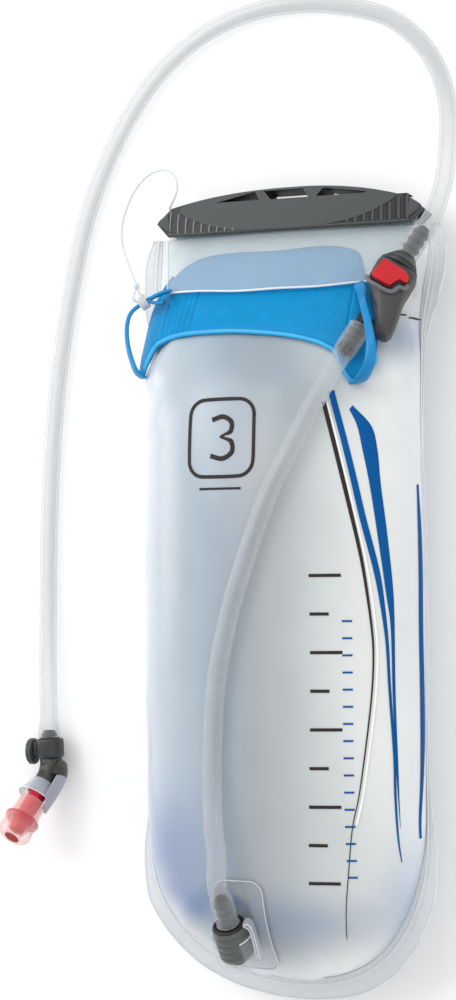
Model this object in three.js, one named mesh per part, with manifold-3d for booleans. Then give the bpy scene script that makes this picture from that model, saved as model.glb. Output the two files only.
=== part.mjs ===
// A three-litre hydration bladder, full of water and lying on its flat back.
// Millimetres. The floor is z = 0, +Y runs from the outlet to the slide bar, +Z is the front.
// The origin is the middle of the bag's flat back.
import * as THREE from 'three';
import { mergeVertices } from 'three/addons/utils/BufferGeometryUtils.js';
import Module from 'manifold-3d';

const wasm = await Module();
wasm.setup();

// ---------------------------------------------------------------- driving dimensions
const GAP = 0.3;                 // clearance between touching pieces
const FILM = 1.6;                // two welded layers of bag film
const HOSE_OD = 9.5;
const TETHER_OD = 1.4;

const BAG_BOTTOM = -195;         // end of the water, below it only the weld border
const BAG_NECK = 184;            // where the film enters the slide bar
const BAG_HALF_WIDTH = 72.5;
const BAG_DEPTH = 82;
const SEAM_END_Z = 8;             // height of the weld plane at the very bottom
const SEAM_MID_Z = 42;
const SEAM_NECK_Z = 20;
const END_START = -105;          // the rounded end begins here
const END_POWER = 2.25;

const BAR_HALF_LENGTH = 71;
const BAR_Y = [184, 205.5];
const BAR_Z = [11.5, 31.5];
const SLOT_Y = 198.8;
const SLOT_Z = [17.8, 28.6];

const YOKE_CENTRE = -6;
const YOKE_THICK = 2.2;
const YOKE_LIFT = 0.6;
const FLAP_LIFT = YOKE_LIFT + YOKE_THICK + GAP + FILM;

// ---------------------------------------------------------------- small helpers
const V = (x, y, z) => new THREE.Vector3(x, y, z);
const group = new THREE.Group();

function along(positions, values) {
  const curve = new THREE.CubicInterpolant(positions, Float64Array.from(values), 1);
  return (t) => curve.evaluate(t)[0];
}

function finish(color, roughness = 0.5, metalness = 0, opacity = 1) {
  return new THREE.MeshStandardMaterial({
    color, roughness, metalness, opacity, transparent: opacity < 1,
  });
}

function add(parent, name, geometry, material) {
  const mesh = new THREE.Mesh(geometry, material);
  mesh.name = name;
  parent.add(mesh);
  return mesh;
}

function signedVolume(positions, index) {
  let sum = 0;
  const corners = [V(), V(), V()];
  for (let i = 0; i < index.length; i += 3) {
    corners.forEach((corner, k) => corner.fromArray(positions, 3 * index[i + k]));
    sum += corners[0].dot(corners[1].clone().cross(corners[2]));
  }
  return sum / 6;
}

// A closed geometry with merged vertices and its faces pointing out.
function closed(geometry) {
  const bare = geometry.clone();
  for (const name of Object.keys(bare.attributes)) {
    if (name !== 'position') bare.deleteAttribute(name);
  }
  const merged = mergeVertices(bare, 1e-4);
  const positions = merged.attributes.position.array;
  const index = Array.from(merged.index.array);
  const kept = [];
  for (let i = 0; i < index.length; i += 3) {
    const [a, b, c] = index.slice(i, i + 3);
    if (a !== b && b !== c && c !== a) kept.push(a, b, c);
  }
  if (signedVolume(positions, kept) < 0) {
    for (let i = 0; i < kept.length; i += 3) {
      [kept[i + 1], kept[i + 2]] = [kept[i + 2], kept[i + 1]];
    }
  }
  merged.setIndex(kept);
  return merged;
}

function meshFrom(points, triangles) {
  const geometry = new THREE.BufferGeometry();
  const numbers = points.flatMap((p) => p.toArray());
  geometry.setAttribute('position', new THREE.Float32BufferAttribute(numbers, 3));
  geometry.setIndex(triangles);
  return closed(geometry);
}

const solid = (geometry) => {
  const g = closed(geometry);
  return new wasm.Manifold(new wasm.Mesh({
    numProp: 3,
    vertProperties: new Float32Array(g.attributes.position.array),
    triVerts: new Uint32Array(g.index.array),
  }));
};

function geometryOf(manifold) {
  const mesh = manifold.getMesh();
  const geometry = new THREE.BufferGeometry();
  geometry.setAttribute('position', new THREE.BufferAttribute(mesh.vertProperties, 3));
  geometry.setIndex(new THREE.BufferAttribute(mesh.triVerts, 1));
  return closed(geometry);
}

const cut = (body, ...tools) => geometryOf(
  tools.reduce((rest, tool) => rest.subtract(solid(tool)), solid(body)),
);
const join = (body, ...more) => geometryOf(
  more.reduce((all, one) => all.add(solid(one)), solid(body)),
);

// A closed body through rings of equal length, with flat ends.
function loft(rings) {
  const n = rings[0].length;
  const triangles = [];
  for (let r = 0; r + 1 < rings.length; r += 1) {
    for (let i = 0; i < n; i += 1) {
      const j = (i + 1) % n;
      const [a, b, c, d] = [r * n + i, r * n + j, (r + 1) * n + i, (r + 1) * n + j];
      triangles.push(a, b, c, b, d, c);
    }
  }
  const last = (rings.length - 1) * n;
  for (let i = 1; i + 1 < n; i += 1) {
    triangles.push(0, i + 1, i, last, last + i, last + i + 1);
  }
  return meshFrom(rings.flat(), triangles);
}

// A sheet of the given thickness that stands on a grid of points, rows[i][j].
function sheet(rows, thickness) {
  const [m, n] = [rows.length, rows[0].length];
  const at = (i, j) => rows[Math.min(m - 1, Math.max(0, i))][Math.min(n - 1, Math.max(0, j))];
  const lower = [];
  const upper = [];
  for (let i = 0; i < m; i += 1) {
    for (let j = 0; j < n; j += 1) {
      const across = at(i, j + 1).clone().sub(at(i, j - 1));
      const down = at(i + 1, j).clone().sub(at(i - 1, j));
      const normal = across.cross(down).normalize();
      lower.push(at(i, j).clone());
      upper.push(at(i, j).clone().addScaledVector(normal, thickness));
    }
  }
  const triangles = [];
  const top = m * n;
  const wall = (a, b) => triangles.push(a, b, a + top, b, b + top, a + top);
  for (let i = 0; i + 1 < m; i += 1) {
    for (let j = 0; j + 1 < n; j += 1) {
      const [a, b, c, d] = [i * n + j, i * n + j + 1, (i + 1) * n + j, (i + 1) * n + j + 1];
      triangles.push(a, b, c, b, d, c, a + top, c + top, b + top, b + top, c + top, d + top);
    }
  }
  for (let j = 0; j + 1 < n; j += 1) {
    wall(j + 1, j);
    wall((m - 1) * n + j, (m - 1) * n + j + 1);
  }
  for (let i = 0; i + 1 < m; i += 1) {
    wall(i * n, (i + 1) * n);
    wall((i + 1) * n + n - 1, i * n + n - 1);
  }
  return meshFrom([...lower, ...upper], triangles);
}

// A turned piece about local Z from pairs [radius, z].
function turned(profile, segments = 20) {
  const lathe = new THREE.LatheGeometry(profile.map(([r, z]) => new THREE.Vector2(r, z)), segments);
  return closed(lathe.rotateX(Math.PI / 2));
}

function polygon(points) {
  const shape = new THREE.Shape();
  points.forEach(([x, y], i) => (i ? shape.lineTo(x, y) : shape.moveTo(x, y)));
  shape.closePath();
  return shape;
}

const slabOf = (shape, depth, z = 0) => new THREE.ExtrudeGeometry(
  shape, { depth, bevelEnabled: false, curveSegments: 8 },
).translate(0, 0, z);

// A sweep of a shape along a smooth curve through the points.
function sweep(shape, points, steps) {
  const extrudePath = new THREE.CatmullRomCurve3(points, false, 'centripetal');
  return closed(new THREE.ExtrudeGeometry(shape, { steps, bevelEnabled: false, extrudePath }));
}

function tube(points, diameter, sides, steps) {
  const round = Array.from({ length: sides }, (_, i) => {
    const angle = (2 * Math.PI * i) / sides;
    return [0.5 * diameter * Math.cos(angle), 0.5 * diameter * Math.sin(angle)];
  });
  return sweep(polygon(round), points, steps);
}

// A flat band along a path, with the direction of its width given at each point.
function band(path, wideDirections, width, thickness) {
  const at = (i) => path[THREE.MathUtils.clamp(i, 0, path.length - 1)];
  const rings = path.map((point, i) => {
    const ahead = at(i + 1).clone().sub(at(i - 1)).normalize();
    const side = wideDirections[i].clone().addScaledVector(ahead, -wideDirections[i].dot(ahead)).normalize();
    const out = ahead.clone().cross(side);
    return [[-1, -1], [1, -1], [1, 1], [-1, 1]].map(([s, o]) => point.clone()
      .addScaledVector(side, 0.5 * s * width[i])
      .addScaledVector(out, 0.5 * o * thickness));
  });
  return loft(rings);
}

// ---------------------------------------------------------------- materials
const FILM_FINISH = finish(0xd9dfe4, 0.35, 0, 0.6);
const WATER_FINISH = finish(0xb4bfca, 0.25, 0, 0.8);
const BLUE = finish(0x0a8fd8, 0.4);
const GREY = finish(0x585b5e, 0.45);
const DARK = finish(0x46484b, 0.5);
const LIGHT_GREY = finish(0x9a9aa0, 0.45);
const LILAC = finish(0xa9a9b8, 0.4);
const RED = finish(0xd51f2f, 0.35);
const PINK = finish(0xf0b8bc, 0.3, 0, 0.7);
const CLEAR = finish(0xe8ecee, 0.15, 0, 0.45);
const STEEL = finish(0xc8c8c8, 0.3, 0.9);
const BLACK = finish(0x1c1c1e, 0.6);

// ---------------------------------------------------------------- the bag's shape
const smooth = THREE.MathUtils.smoothstep;

const sideWidth = along(
  [END_START, 0, 76, 115, 130, 150, 166, BAG_NECK],
  [BAG_HALF_WIDTH, 73, 72, 71.5, 70, 70, 71.5, 72],
);
const frontRise = along(
  [0, 50, 85, 110, 130, 150, 165, BAG_NECK],
  [BAG_DEPTH - SEAM_MID_Z, 39, 35.5, 32, 29, 23.6, 16.7, 1.2],
);
const backDrop = along(
  [BAG_BOTTOM, -188, -178, -165, -140, 60, 110, 130, 150, 165, BAG_NECK],
  [7, 20, 31, 40, 45, 45, 43, 35, 22, 13.5, 1.2],
);

function halfWidth(y) {
  if (y > END_START) return sideWidth(y);
  const t = Math.min(1, (END_START - y) / (END_START - BAG_BOTTOM));
  return BAG_HALF_WIDTH * (1 - t ** END_POWER) ** (1 / END_POWER);
}

// Height of the weld plane: low at both ends, half the bag's depth in the middle.
function seamZ(y) {
  const s = THREE.MathUtils.clamp((y + 209) / 70, 0, 1);
  const bottom = SEAM_END_Z + (SEAM_MID_Z - SEAM_END_Z) * Math.sin(0.5 * Math.PI * s ** 0.75);
  return bottom - (SEAM_MID_Z - SEAM_NECK_Z) * smooth(y, 95, 190);
}

function rise(y) {
  if (y > 0) return frontRise(y);
  const t = THREE.MathUtils.clamp((-60 - y) / 136, 0, 1);
  return (BAG_DEPTH - SEAM_MID_Z) * Math.sqrt(1 - t ** 2.6);
}

function frontZ(x, y) {
  const full = 1 - smooth(y, 125, BAG_NECK);
  const u = Math.min(1, Math.abs(x) / halfWidth(y));
  return seamZ(y) + rise(y) * (1 - u ** (2 + 0.5 * full)) ** (1 / (1.1 + 0.8 * full));
}

// The two panels part GAP apart, so the back is flattened GAP / 2 higher than the floor.
const FLAT_BACK_Z = GAP / 2;

function backZ(x, y) {
  const u = Math.min(1, Math.abs(x) / halfWidth(y));
  return Math.max(FLAT_BACK_Z, seamZ(y) - backDrop(y) * Math.sqrt(1 - u ** 2.8));
}

function frontNormal(x, y) {
  const d = 0.5;
  return V(frontZ(x - d, y) - frontZ(x + d, y), frontZ(x, y - d) - frontZ(x, y + d), 2 * d).normalize();
}

const onFront = (x, y, lift) => V(x, y, frontZ(x, y)).addScaledVector(frontNormal(x, y), lift);

const END_STATIONS = [86, 76, 65, 54, 43, 32, 20, 8].map(
  (degrees) => END_START + (BAG_BOTTOM - END_START) * Math.sin(THREE.MathUtils.degToRad(degrees)),
);
const STATIONS = [...END_STATIONS, -70, -25, 20, 55, 82, 102, 118, 132, 145, 156, 166, 175, BAG_NECK];
const RING_ANGLES = Array.from({ length: 19 }, (_, i) => (Math.PI * i) / 18);

function panelRing(y, height, shift) {
  return RING_ANGLES.map((angle) => {
    const x = -halfWidth(y) * Math.cos(angle);
    return V(x, y, height(x, y) + shift);
  });
}

add(group, 'back_panel', loft(STATIONS.map((y) => panelRing(y, backZ, -GAP / 2))), WATER_FINISH);

// ---------------------------------------------------------------- weld border
// It stands out flat round the bottom end and at the shoulders, and is folded back along the sides.
const BORDER_THICK = 1.2;
const borderWidth = along(
  [-209, -170, -131, -100, 118, 135, 150, 176, BAG_NECK],
  [13, 11, 9, 8, 4, 6, 8.5, 8, 5],
);
const borderFold = along([-150, -126, -100, 110, 128, 142], [0, 0.45, 1, 1, 0.6, 0]);

function borderPoint(side, y, reach) {
  const dy = 0.25;
  const low = Math.max(BAG_BOTTOM, y - dy);
  const slope = (halfWidth(y + dy) - halfWidth(low)) / (y + dy - low);
  const outX = 1 / Math.hypot(1, slope);
  const outY = -slope * outX;
  const fold = THREE.MathUtils.clamp(borderFold(y), 0, 1);
  const flat = GAP + reach * (1 - 0.7 * fold);
  const outerY = y + outY * flat;
  return V(side * (halfWidth(y) + outX * flat), outerY, seamZ(outerY) - 0.85 * fold * reach);
}

function borderRing(side, y) {
  const inner = borderPoint(side, y, 0);
  const outer = borderPoint(side, y, borderWidth(y));
  const lift = V(0, 0, BORDER_THICK / 2);
  return [inner.clone().sub(lift), outer.clone().sub(lift), outer.clone().add(lift), inner.clone().add(lift)];
}

const BORDER_SIDE = [BAG_NECK, 176, 166, 156, 148, 141, 134, 127, 118, 105, 70, 0, -60, -95, -110, -122, -134,
  ...END_STATIONS.filter((y) => y < -140).reverse()];
const borderRings = [
  ...BORDER_SIDE.map((y) => borderRing(-1, y)),
  ...[...BORDER_SIDE].reverse().map((y) => borderRing(1, y)),
];
add(group, 'seam_flange', loft(borderRings), FILM_FINISH);

// ---------------------------------------------------------------- folded neck
// Film runs up into the bar, folds over, comes back and hangs down over the front as a flap.
const NECK_HALF = 66;
const NECK_LOW_Z = 20.2;
const FOLD_RADIUS = 2.9;
const FOLD_Y = 193.3;
const FLAP_EDGE_Y = 147.4;
const NECK_COLUMNS = 17;
const FLAP_ROWS = [179.5, 174, 167.5, 161, 154.3, FLAP_EDGE_Y];

function neckRows() {
  const centre = NECK_LOW_Z + FOLD_RADIUS;
  const fold = [-90, -45, 0, 45, 90].map((degrees) => {
    const angle = THREE.MathUtils.degToRad(degrees);
    return [FOLD_Y + FOLD_RADIUS * Math.cos(angle), centre + FOLD_RADIUS * Math.sin(angle)];
  });
  const inside = [
    [BAG_NECK + GAP, NECK_LOW_Z], [189, NECK_LOW_Z], ...fold, [189, centre + FOLD_RADIUS], [184.5, 25.6],
  ];
  const columns = Array.from({ length: NECK_COLUMNS }, (_, j) => (2 * j) / (NECK_COLUMNS - 1) - 1);
  const rows = inside.map(([y, z]) => columns.map((u) => V(NECK_HALF * u, y, z)));
  for (const y of FLAP_ROWS) {
    const half = NECK_HALF - 6.5 * smooth(BAG_NECK - y, 0, BAG_NECK - FLAP_EDGE_Y);
    rows.push(columns.map((u) => {
      const bow = (y === FLAP_EDGE_Y ? 3.5 * u * u : 0);
      return onFront(half * u, y + bow, FLAP_LIFT);
    }));
  }
  return rows;
}
add(group, 'neck_fold', sheet(neckRows(), FILM), FILM_FINISH);

// ---------------------------------------------------------------- yoke with its two hand loops
// both edges of the yoke, left to right: a slim lobe hugs the left flank, a rounded one the right
const yokeLower = along(
  [-69.5, -68, -65.5, -62, -57, -48, -30, -10, 19, 32, 37, 41, 45.5, 49.5, 54.5],
  [109.5, 108.3, 114.5, 122.5, 125.3, 127.3, 127.8, 126.9, 122.5, 117.8, 114, 105.5, 100.2, 102.5, 110],
);
const yokeUpper = along(
  [-69.5, -68, -66, -63.5, -59, -52, -46, -6, 34, 40, 44, 49, 54.5],
  [122, 136, 147, 155, 163, 168.5, 171, 172, 171, 167, 158, 146, 124],
);
const YOKE_COLUMNS = [
  -69.5, -68, -65.5, -62, -57, -52, -46, -38, -28, -17, -6, 7, 19, 26, 32, 37, 41, 44, 47, 49.5, 52, 54.5,
];
const YOKE_ROWS = 5;
const YOKE_STANDS_OFF = 2;       // how far the left margin stands off the film

function yokeGrid() {
  return Array.from({ length: YOKE_ROWS + 1 }, (_, i) => YOKE_COLUMNS.map((x) => {
    const y = yokeUpper(x) + (yokeLower(x) - yokeUpper(x)) * (i / YOKE_ROWS);
    return onFront(x, y, YOKE_LIFT + YOKE_STANDS_OFF * smooth(-x, 60, 69.5));
  }));
}
add(group, 'yoke', sheet(yokeGrid(), -YOKE_THICK), BLUE);

const LOOP_THICK = 2.2;
const LEFT_LOOP = [
  V(-63, 152.7, 47), V(-71.5, 148.3, 49), V(-77.9, 143, 51), V(-79.2, 137.1, 53),
  V(-78, 127.9, 56), V(-75.3, 118.6, 57.5), V(-72.4, 112, 57.5),
];
const RIGHT_LOOP = [
  V(46.5, 147.2, 57), V(51.2, 139.4, 69.6), V(56, 127.6, 77.5), V(58.2, 117.8, 81.4),
  V(57.6, 109.5, 81.6), V(53.8, 104.4, 77.5), V(50.6, 101.9, 74),
];

function loopBand(path, firstWide, lastWide, width) {
  const wides = path.map((_, i) => firstWide.clone().lerp(lastWide, i / (path.length - 1)));
  return band(path, wides, width, LOOP_THICK);
}
const LOOP_WIDTH = [7, 4.4, 4, 4, 4.6, 6.5, 9.5];
add(group, 'yoke_loop_left', loopBand(LEFT_LOOP, V(0.5, 0, 1), V(0.7, 0.1, 1), LOOP_WIDTH), BLUE);
add(group, 'yoke_loop_right', loopBand(RIGHT_LOOP, V(1, 0.4, 0.1), V(1, 0.2, -0.3), LOOP_WIDTH), BLUE);

// ---------------------------------------------------------------- slide bar
const BAR_DEPTH = BAR_Z[1] - BAR_Z[0];
const GRIP_RIBS = 8;
const GRIP_PITCH = 4.6;

function barOutline() {
  const shape = new THREE.Shape();
  const [low, high] = BAR_Y;
  shape.moveTo(-65, low);
  shape.lineTo(65, low);
  shape.lineTo(BAR_HALF_LENGTH, low + 6);
  shape.lineTo(63, low + 13);
  shape.quadraticCurveTo(36, high + 0.3, 4, high);
  shape.quadraticCurveTo(-34, high + 0.3, -63, low + 14.5);
  shape.lineTo(-BAR_HALF_LENGTH, low + 7);
  shape.closePath();
  return shape;
}

const BAR_WINDOWS = [
  [[-38, 200], [-16.8, 204.3], [-14.6, 199.9]],
  [[-12.1, 204.3], [8.9, 204.3], [11.5, 199.9], [-8.6, 199.9]],
  [[15.8, 199.9], [19.5, 204], [42.4, 200.6], [40.8, 199.9]],
];

function gripRib(side, index) {
  // the grip's height follows an arc that falls away towards the middle of the bar
  const height = 11.5 * (1 - index / GRIP_RIBS) ** 1.5 + 1.2;
  const x = side * (62 - GRIP_PITCH * index);
  return new THREE.BoxGeometry(1, height, 1).translate(x, BAR_Y[0] + 0.8 + height / 2, BAR_Z[1] - 0.4);
}

const slot = new THREE.BoxGeometry(200, SLOT_Y - BAR_Y[0] + 2, SLOT_Z[1] - SLOT_Z[0])
  .translate(0, (SLOT_Y + BAR_Y[0] - 2) / 2, (SLOT_Z[0] + SLOT_Z[1]) / 2);
const ribs = [-1, 1].flatMap((side) => Array.from({ length: GRIP_RIBS }, (_, i) => gripRib(side, i)));
add(group, 'slide_bar', cut(
  slabOf(barOutline(), BAR_DEPTH, BAR_Z[0]), slot, ...ribs,
  ...BAR_WINDOWS.map((points) => slabOf(polygon(points), BAR_DEPTH + 2, BAR_Z[0] - 1)),
), GREY);

// ---------------------------------------------------------------- tether from the bar to the left loop
const TETHER_ROUTE = [V(-67.2, 199.6, 24), V(-65.2, 203.2, 24.3), V(-63.4, 208, 23.6), V(-63.4, 213.6, 22),
  V(-66, 218.4, 20.3), V(-70.5, 221.3, 18.8), V(-76.2, 221.6, 17.6), V(-82, 219.6, 16.6), V(-87.4, 215.3, 16),
  V(-91.6, 209.5, 15.8), V(-94.7, 202.6, 16), V(-96.5, 195.4, 16.8), V(-96.4, 188, 18.6), V(-94, 181, 22),
  V(-90, 174.4, 27), V(-85.4, 168.4, 33.6), V(-80.4, 162.4, 41), V(-75.4, 156.6, 49.4)];
add(group, 'tether', tube(TETHER_ROUTE, TETHER_OD, 8, 40), CLEAR);
const strapAhead = LEFT_LOOP[2].clone().sub(LEFT_LOOP[0]).normalize();
const knotTurn = new THREE.Quaternion().setFromUnitVectors(V(0, 0, 1), strapAhead);
const knot = new THREE.TorusGeometry(3.6, 0.9, 6, 14).applyQuaternion(knotTurn);
add(group, 'tether_knot', closed(knot.translate(...LEFT_LOOP[1].toArray())), CLEAR);

// ---------------------------------------------------------------- outlet port and hose plug
const PORT_HOSE_END = V(-18, -157.5, 80.5);
const PORT_PLUG_END = V(-16.6, -177.5, 68.5);
const portAxis = PORT_HOSE_END.clone().sub(PORT_PLUG_END).normalize();

function placed(origin, axis, front) {
  const x = front.clone().addScaledVector(axis, -front.dot(axis)).normalize();
  const y = axis.clone().cross(x);
  const frame = new THREE.Group();
  frame.position.copy(origin);
  frame.quaternion.setFromRotationMatrix(new THREE.Matrix4().makeBasis(x, y, axis));
  group.add(frame);
  return frame;
}

const PLATE_THICK = 1.4;
const PLATE_LIFT = 0.6;
const PLATE_CENTRE = -18;
const plateRows = Array.from({ length: 10 }, (_, i) => -139 - 5.2 * i);
const plateGrid = plateRows.map((y, i) => {
  const half = 22 - (i === 0 || i === plateRows.length - 1 ? 4 : 0);
  return Array.from({ length: 9 }, (_, j) => onFront(PLATE_CENTRE + half * (j / 4 - 1), y, PLATE_LIFT));
});

const port = placed(PORT_PLUG_END, portAxis, V(0, 0, 1));   // local Z runs up the plug, local X is outwards
port.updateMatrixWorld(true);
const COLLAR_R = 8.6;
const CUP_R = COLLAR_R + 2.4;
const CUP_Z = [-3.2, 13];
const RECESS_TOP = 24;
const PLUG_TOP = 19.6;
const PLUG_TRAVEL = 12;
const pulledTop = PLUG_TOP + PLUG_TRAVEL + 2 * GAP;
// room for the cup, and above it for the plug on its way out
const recess = turned([
  [0, CUP_Z[0] - GAP], [CUP_R + GAP, CUP_Z[0] - GAP], [CUP_R + GAP, RECESS_TOP],
  [COLLAR_R + 2 * GAP, RECESS_TOP], [COLLAR_R + 2 * GAP, pulledTop], [0, pulledTop],
], 24).applyMatrix4(port.matrixWorld);
const frontPanel = loft(STATIONS.map((y) => panelRing(y, frontZ, GAP / 2)));
add(group, 'front_panel', cut(frontPanel, recess), WATER_FINISH);
add(group, 'port_flange', cut(sheet(plateGrid, -PLATE_THICK), recess), CLEAR);
const cup = cut(
  turned([[0, CUP_Z[0]], [CUP_R - 2, CUP_Z[0]], [CUP_R, CUP_Z[0] + 2], [CUP_R, CUP_Z[1]], [0, CUP_Z[1]]], 24),
  turned([[0, -GAP], [COLLAR_R + GAP, -GAP], [COLLAR_R + GAP, 20], [0, 20]], 24),
  turned([[0, -10], [6, -10], [6, 2], [0, 2]], 20),
  new THREE.BoxGeometry(20, 30, 20).translate(12.5, 0, 12),
);
add(port, 'port_socket', cup, CLEAR);
// a nose below, a collar with two shallow grooves, and a pocket in its top for the barb
const PLUG_NOSE_R = 3.4;
const PLUG_POCKET_Z = 16;
add(port, 'hose_plug', turned([
  [0, -2.6], [PLUG_NOSE_R, -2.6], [PLUG_NOSE_R, 0], [7.6, 0], [8.2, 1], [COLLAR_R, 1.6],
  [COLLAR_R, 5], [8.2, 5.4], [8.2, 6.2], [COLLAR_R, 6.6],
  [COLLAR_R, 10.4], [8.2, 10.8], [8.2, 11.6], [COLLAR_R, 12],
  [COLLAR_R, 18.4], [8, PLUG_TOP], [4.9, PLUG_TOP], [4.9, PLUG_POCKET_Z], [0, PLUG_POCKET_Z],
], 24), GREY);
const BARB_LENGTH = 19;
add(port, 'port_o_ring', closed(new THREE.TorusGeometry(4.6, 0.8, 6, 16).translate(0, 0, -1.4)), BLACK);

// A hose barb on local Z from z0 upwards: steps that widen away from the hose's end.
function barb(z0, length, tipRadius, ribRadius, count) {
  const pitch = length / count;
  const profile = [[0, z0], [ribRadius, z0]];
  for (let i = 0; i < count; i += 1) {
    const z = z0 + pitch * i;
    profile.push([ribRadius, z + 0.35 * pitch], [tipRadius, z + pitch]);
    if (i + 1 < count) profile.push([ribRadius, z + pitch]);
  }
  profile.push([0, z0 + length]);
  return profile;
}
const PORT_BARB_Z = PLUG_POCKET_Z + GAP;
// the same profile with its two ends exchanged
const turnedRound = (profile, length) => profile.map(([r, z]) => [r, length - z]).reverse();
add(port, 'port_barb', turned(barb(PORT_BARB_Z, BARB_LENGTH, 3.4, 4.4, 4), 12), DARK);

// a springy finger beside the plug, with a lip at its free end
const LATCH_IN = CUP_R + 2 * GAP;
const LATCH_OUT = LATCH_IN + 2;
const LATCH_LIP = COLLAR_R + 2 * GAP;
const LATCH_WIDE = 5;
const latchOutline = [
  [LATCH_IN, 1], [LATCH_OUT, 1], [LATCH_OUT, 23], [LATCH_LIP, 23], [LATCH_LIP, 21.6], [LATCH_IN, 19],
];
const upright = new THREE.Matrix4().makeBasis(V(0, 1, 0), V(0, 0, 1), V(1, 0, 0));
add(port, 'port_latch', slabOf(polygon(latchOutline), LATCH_WIDE).applyMatrix4(upright), CLEAR);

// ---------------------------------------------------------------- mid-hose coupling
// Local Z runs from the lower hose to the upper hose, local X faces the front, local Y is the right side.
const COUPLING_LOW = V(43.1, 115.7, 75.5);
const COUPLING_HIGH = V(76.4, 182.1, 39);
const couplingAxis = COUPLING_HIGH.clone().sub(COUPLING_LOW).normalize();
const coupling = placed(COUPLING_LOW, couplingAxis, V(0.32, 0.3, 0.9));

const HEAD_Z = [39, 51];
const PLUG_Z = [HEAD_Z[1] + GAP, 59];
const SOCKET_R = 5;
const SOCKET_Z = 35.5;
const UPPER_BARB = 18.7;
const BOOT_SIDES = 20;
const BOOT_POWER = 3.2;          // 2 would be an ellipse, more is squarer
const rounded = (halfX, halfY, z, shiftY) => Array.from({ length: BOOT_SIDES }, (_, i) => {
  const a = (2 * Math.PI * i) / BOOT_SIDES;
  const fold = (value) => Math.sign(value) * Math.abs(value) ** (2 / BOOT_POWER);
  return V(halfX * fold(Math.cos(a)), shiftY + halfY * fold(Math.sin(a)), z);
});
const bootRings = [
  rounded(4.2, 3.6, 16, 11), rounded(5.4, 5, 18.5, 10.6), rounded(6.4, 6, 23, 9.2),
  rounded(7.4, 7.4, 28.5, 6.6), rounded(8.4, 8.8, 34, 3.8), rounded(9.2, 10.2, HEAD_Z[0], 1.6),
  rounded(9.6, 11, HEAD_Z[0] + 4, 0.9), rounded(9.6, 11, HEAD_Z[1], 0.6),
];
const BUTTON_POCKET_X = 5.6;
const BUTTON_TRAVEL = 2.2;
const BUTTON_THICK = 3.8;
const BUTTON_X = BUTTON_POCKET_X + BUTTON_TRAVEL + 0.4;
const buttonOutline = [
  [-9.2, 0], [3.4, 0], [3.8, 3.6], [8.8, 3.6], [8.6, 6], [6, 9.8], [-6.8, 10.2], [-7, 7.8], [-9.2, 5],
];
const pocketOutline = [
  [-9.7, -0.5], [3.9, -0.5], [4.3, 3.1], [9.3, 3.1], [9.1, 6.2], [6.3, 10.3], [-7.3, 10.7], [-7.5, 8],
  [-9.7, 5.2],
];
// outlines are drawn as (right, up the axis) and stand along the front direction
const facing = (outline, depth, x, z) => slabOf(polygon(outline), depth)
  .applyMatrix4(upright).translate(x, 0, z);
const BUTTON_Z = 40;
const BOOT_BORE = 29;            // end of the narrow bore that takes the lower barb
const boot = cut(
  loft(bootRings),
  turned([[0, SOCKET_Z], [SOCKET_R, SOCKET_Z], [SOCKET_R, 55], [0, 55]], 16),
  turned([[0, 28], [2, 28], [2, SOCKET_Z + 1], [0, SOCKET_Z + 1]], 10).translate(0, 2, 0),
  turned([[0, 0], [4.9, 0], [4.9, 21.3], [3.2, 21.3], [3.2, BOOT_BORE], [0, BOOT_BORE]], 14),
  facing(pocketOutline, 10, BUTTON_POCKET_X, BUTTON_Z),
);
add(coupling, 'coupling_body', boot, GREY);
add(coupling, 'lower_barb', join(
  turned(turnedRound(barb(0, 21, 3.4, 4.6, 5), 21), 12),
  turned([[0, 15], [2.9, 15], [2.9, 27.6], [0, 27.6]], 12),
), DARK);
add(coupling, 'release_button', facing(buttonOutline, BUTTON_THICK, BUTTON_X, BUTTON_Z), RED);
add(coupling, 'latch_plate', cut(
  turned([[0, 48], [4.6, 48], [4.6, 49.6], [0, 49.6]], 16),
  turned([[0, 47], [3.4, 47], [3.4, 50], [0, 50]], 14),
), STEEL);

function helix(radius, z0, height, turns, wire) {
  const count = turns * 8;
  const points = Array.from({ length: count + 1 }, (_, i) => {
    const angle = (2 * Math.PI * i) / 8;
    return V(radius * Math.cos(angle), radius * Math.sin(angle), z0 + (height * i) / count);
  });
  return tube(points, wire, 5, count);
}
const buttonSpring = closed(helix(1.6, 0.4, 1.8, 2, 0.5).applyMatrix4(upright));
add(coupling, 'button_spring', buttonSpring.translate(BUTTON_POCKET_X, -4.4, BUTTON_Z + 4.4), STEEL);
add(coupling, 'poppet_spring', helix(2.6, 36.3, 2.4, 2, 0.7), STEEL);
add(coupling, 'shutoff_poppet', turned([
  [0, 39.5], [4.4, 39.5], [4.4, 40.9], [2.2, 42.4], [0, 42.4],
], 14), LIGHT_GREY);
const couplingRing = new THREE.TorusGeometry(3.9, 0.6, 6, 14).translate(0, 0, 46.2);
add(coupling, 'coupling_o_ring', closed(couplingRing), BLACK);
add(coupling, 'coupling_plug', turned([
  [0, 44.8], [3, 44.8], [3, PLUG_Z[0]], [10.2, PLUG_Z[0]], [10.4, 53.2],
  [9.4, 54], [8.4, 56], [6, PLUG_Z[1]], [0, PLUG_Z[1]],
], 20), GREY);
add(coupling, 'upper_barb', turned(barb(PLUG_Z[1] + GAP, UPPER_BARB, 3.4, 4.6, 4), 12), DARK);

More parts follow.
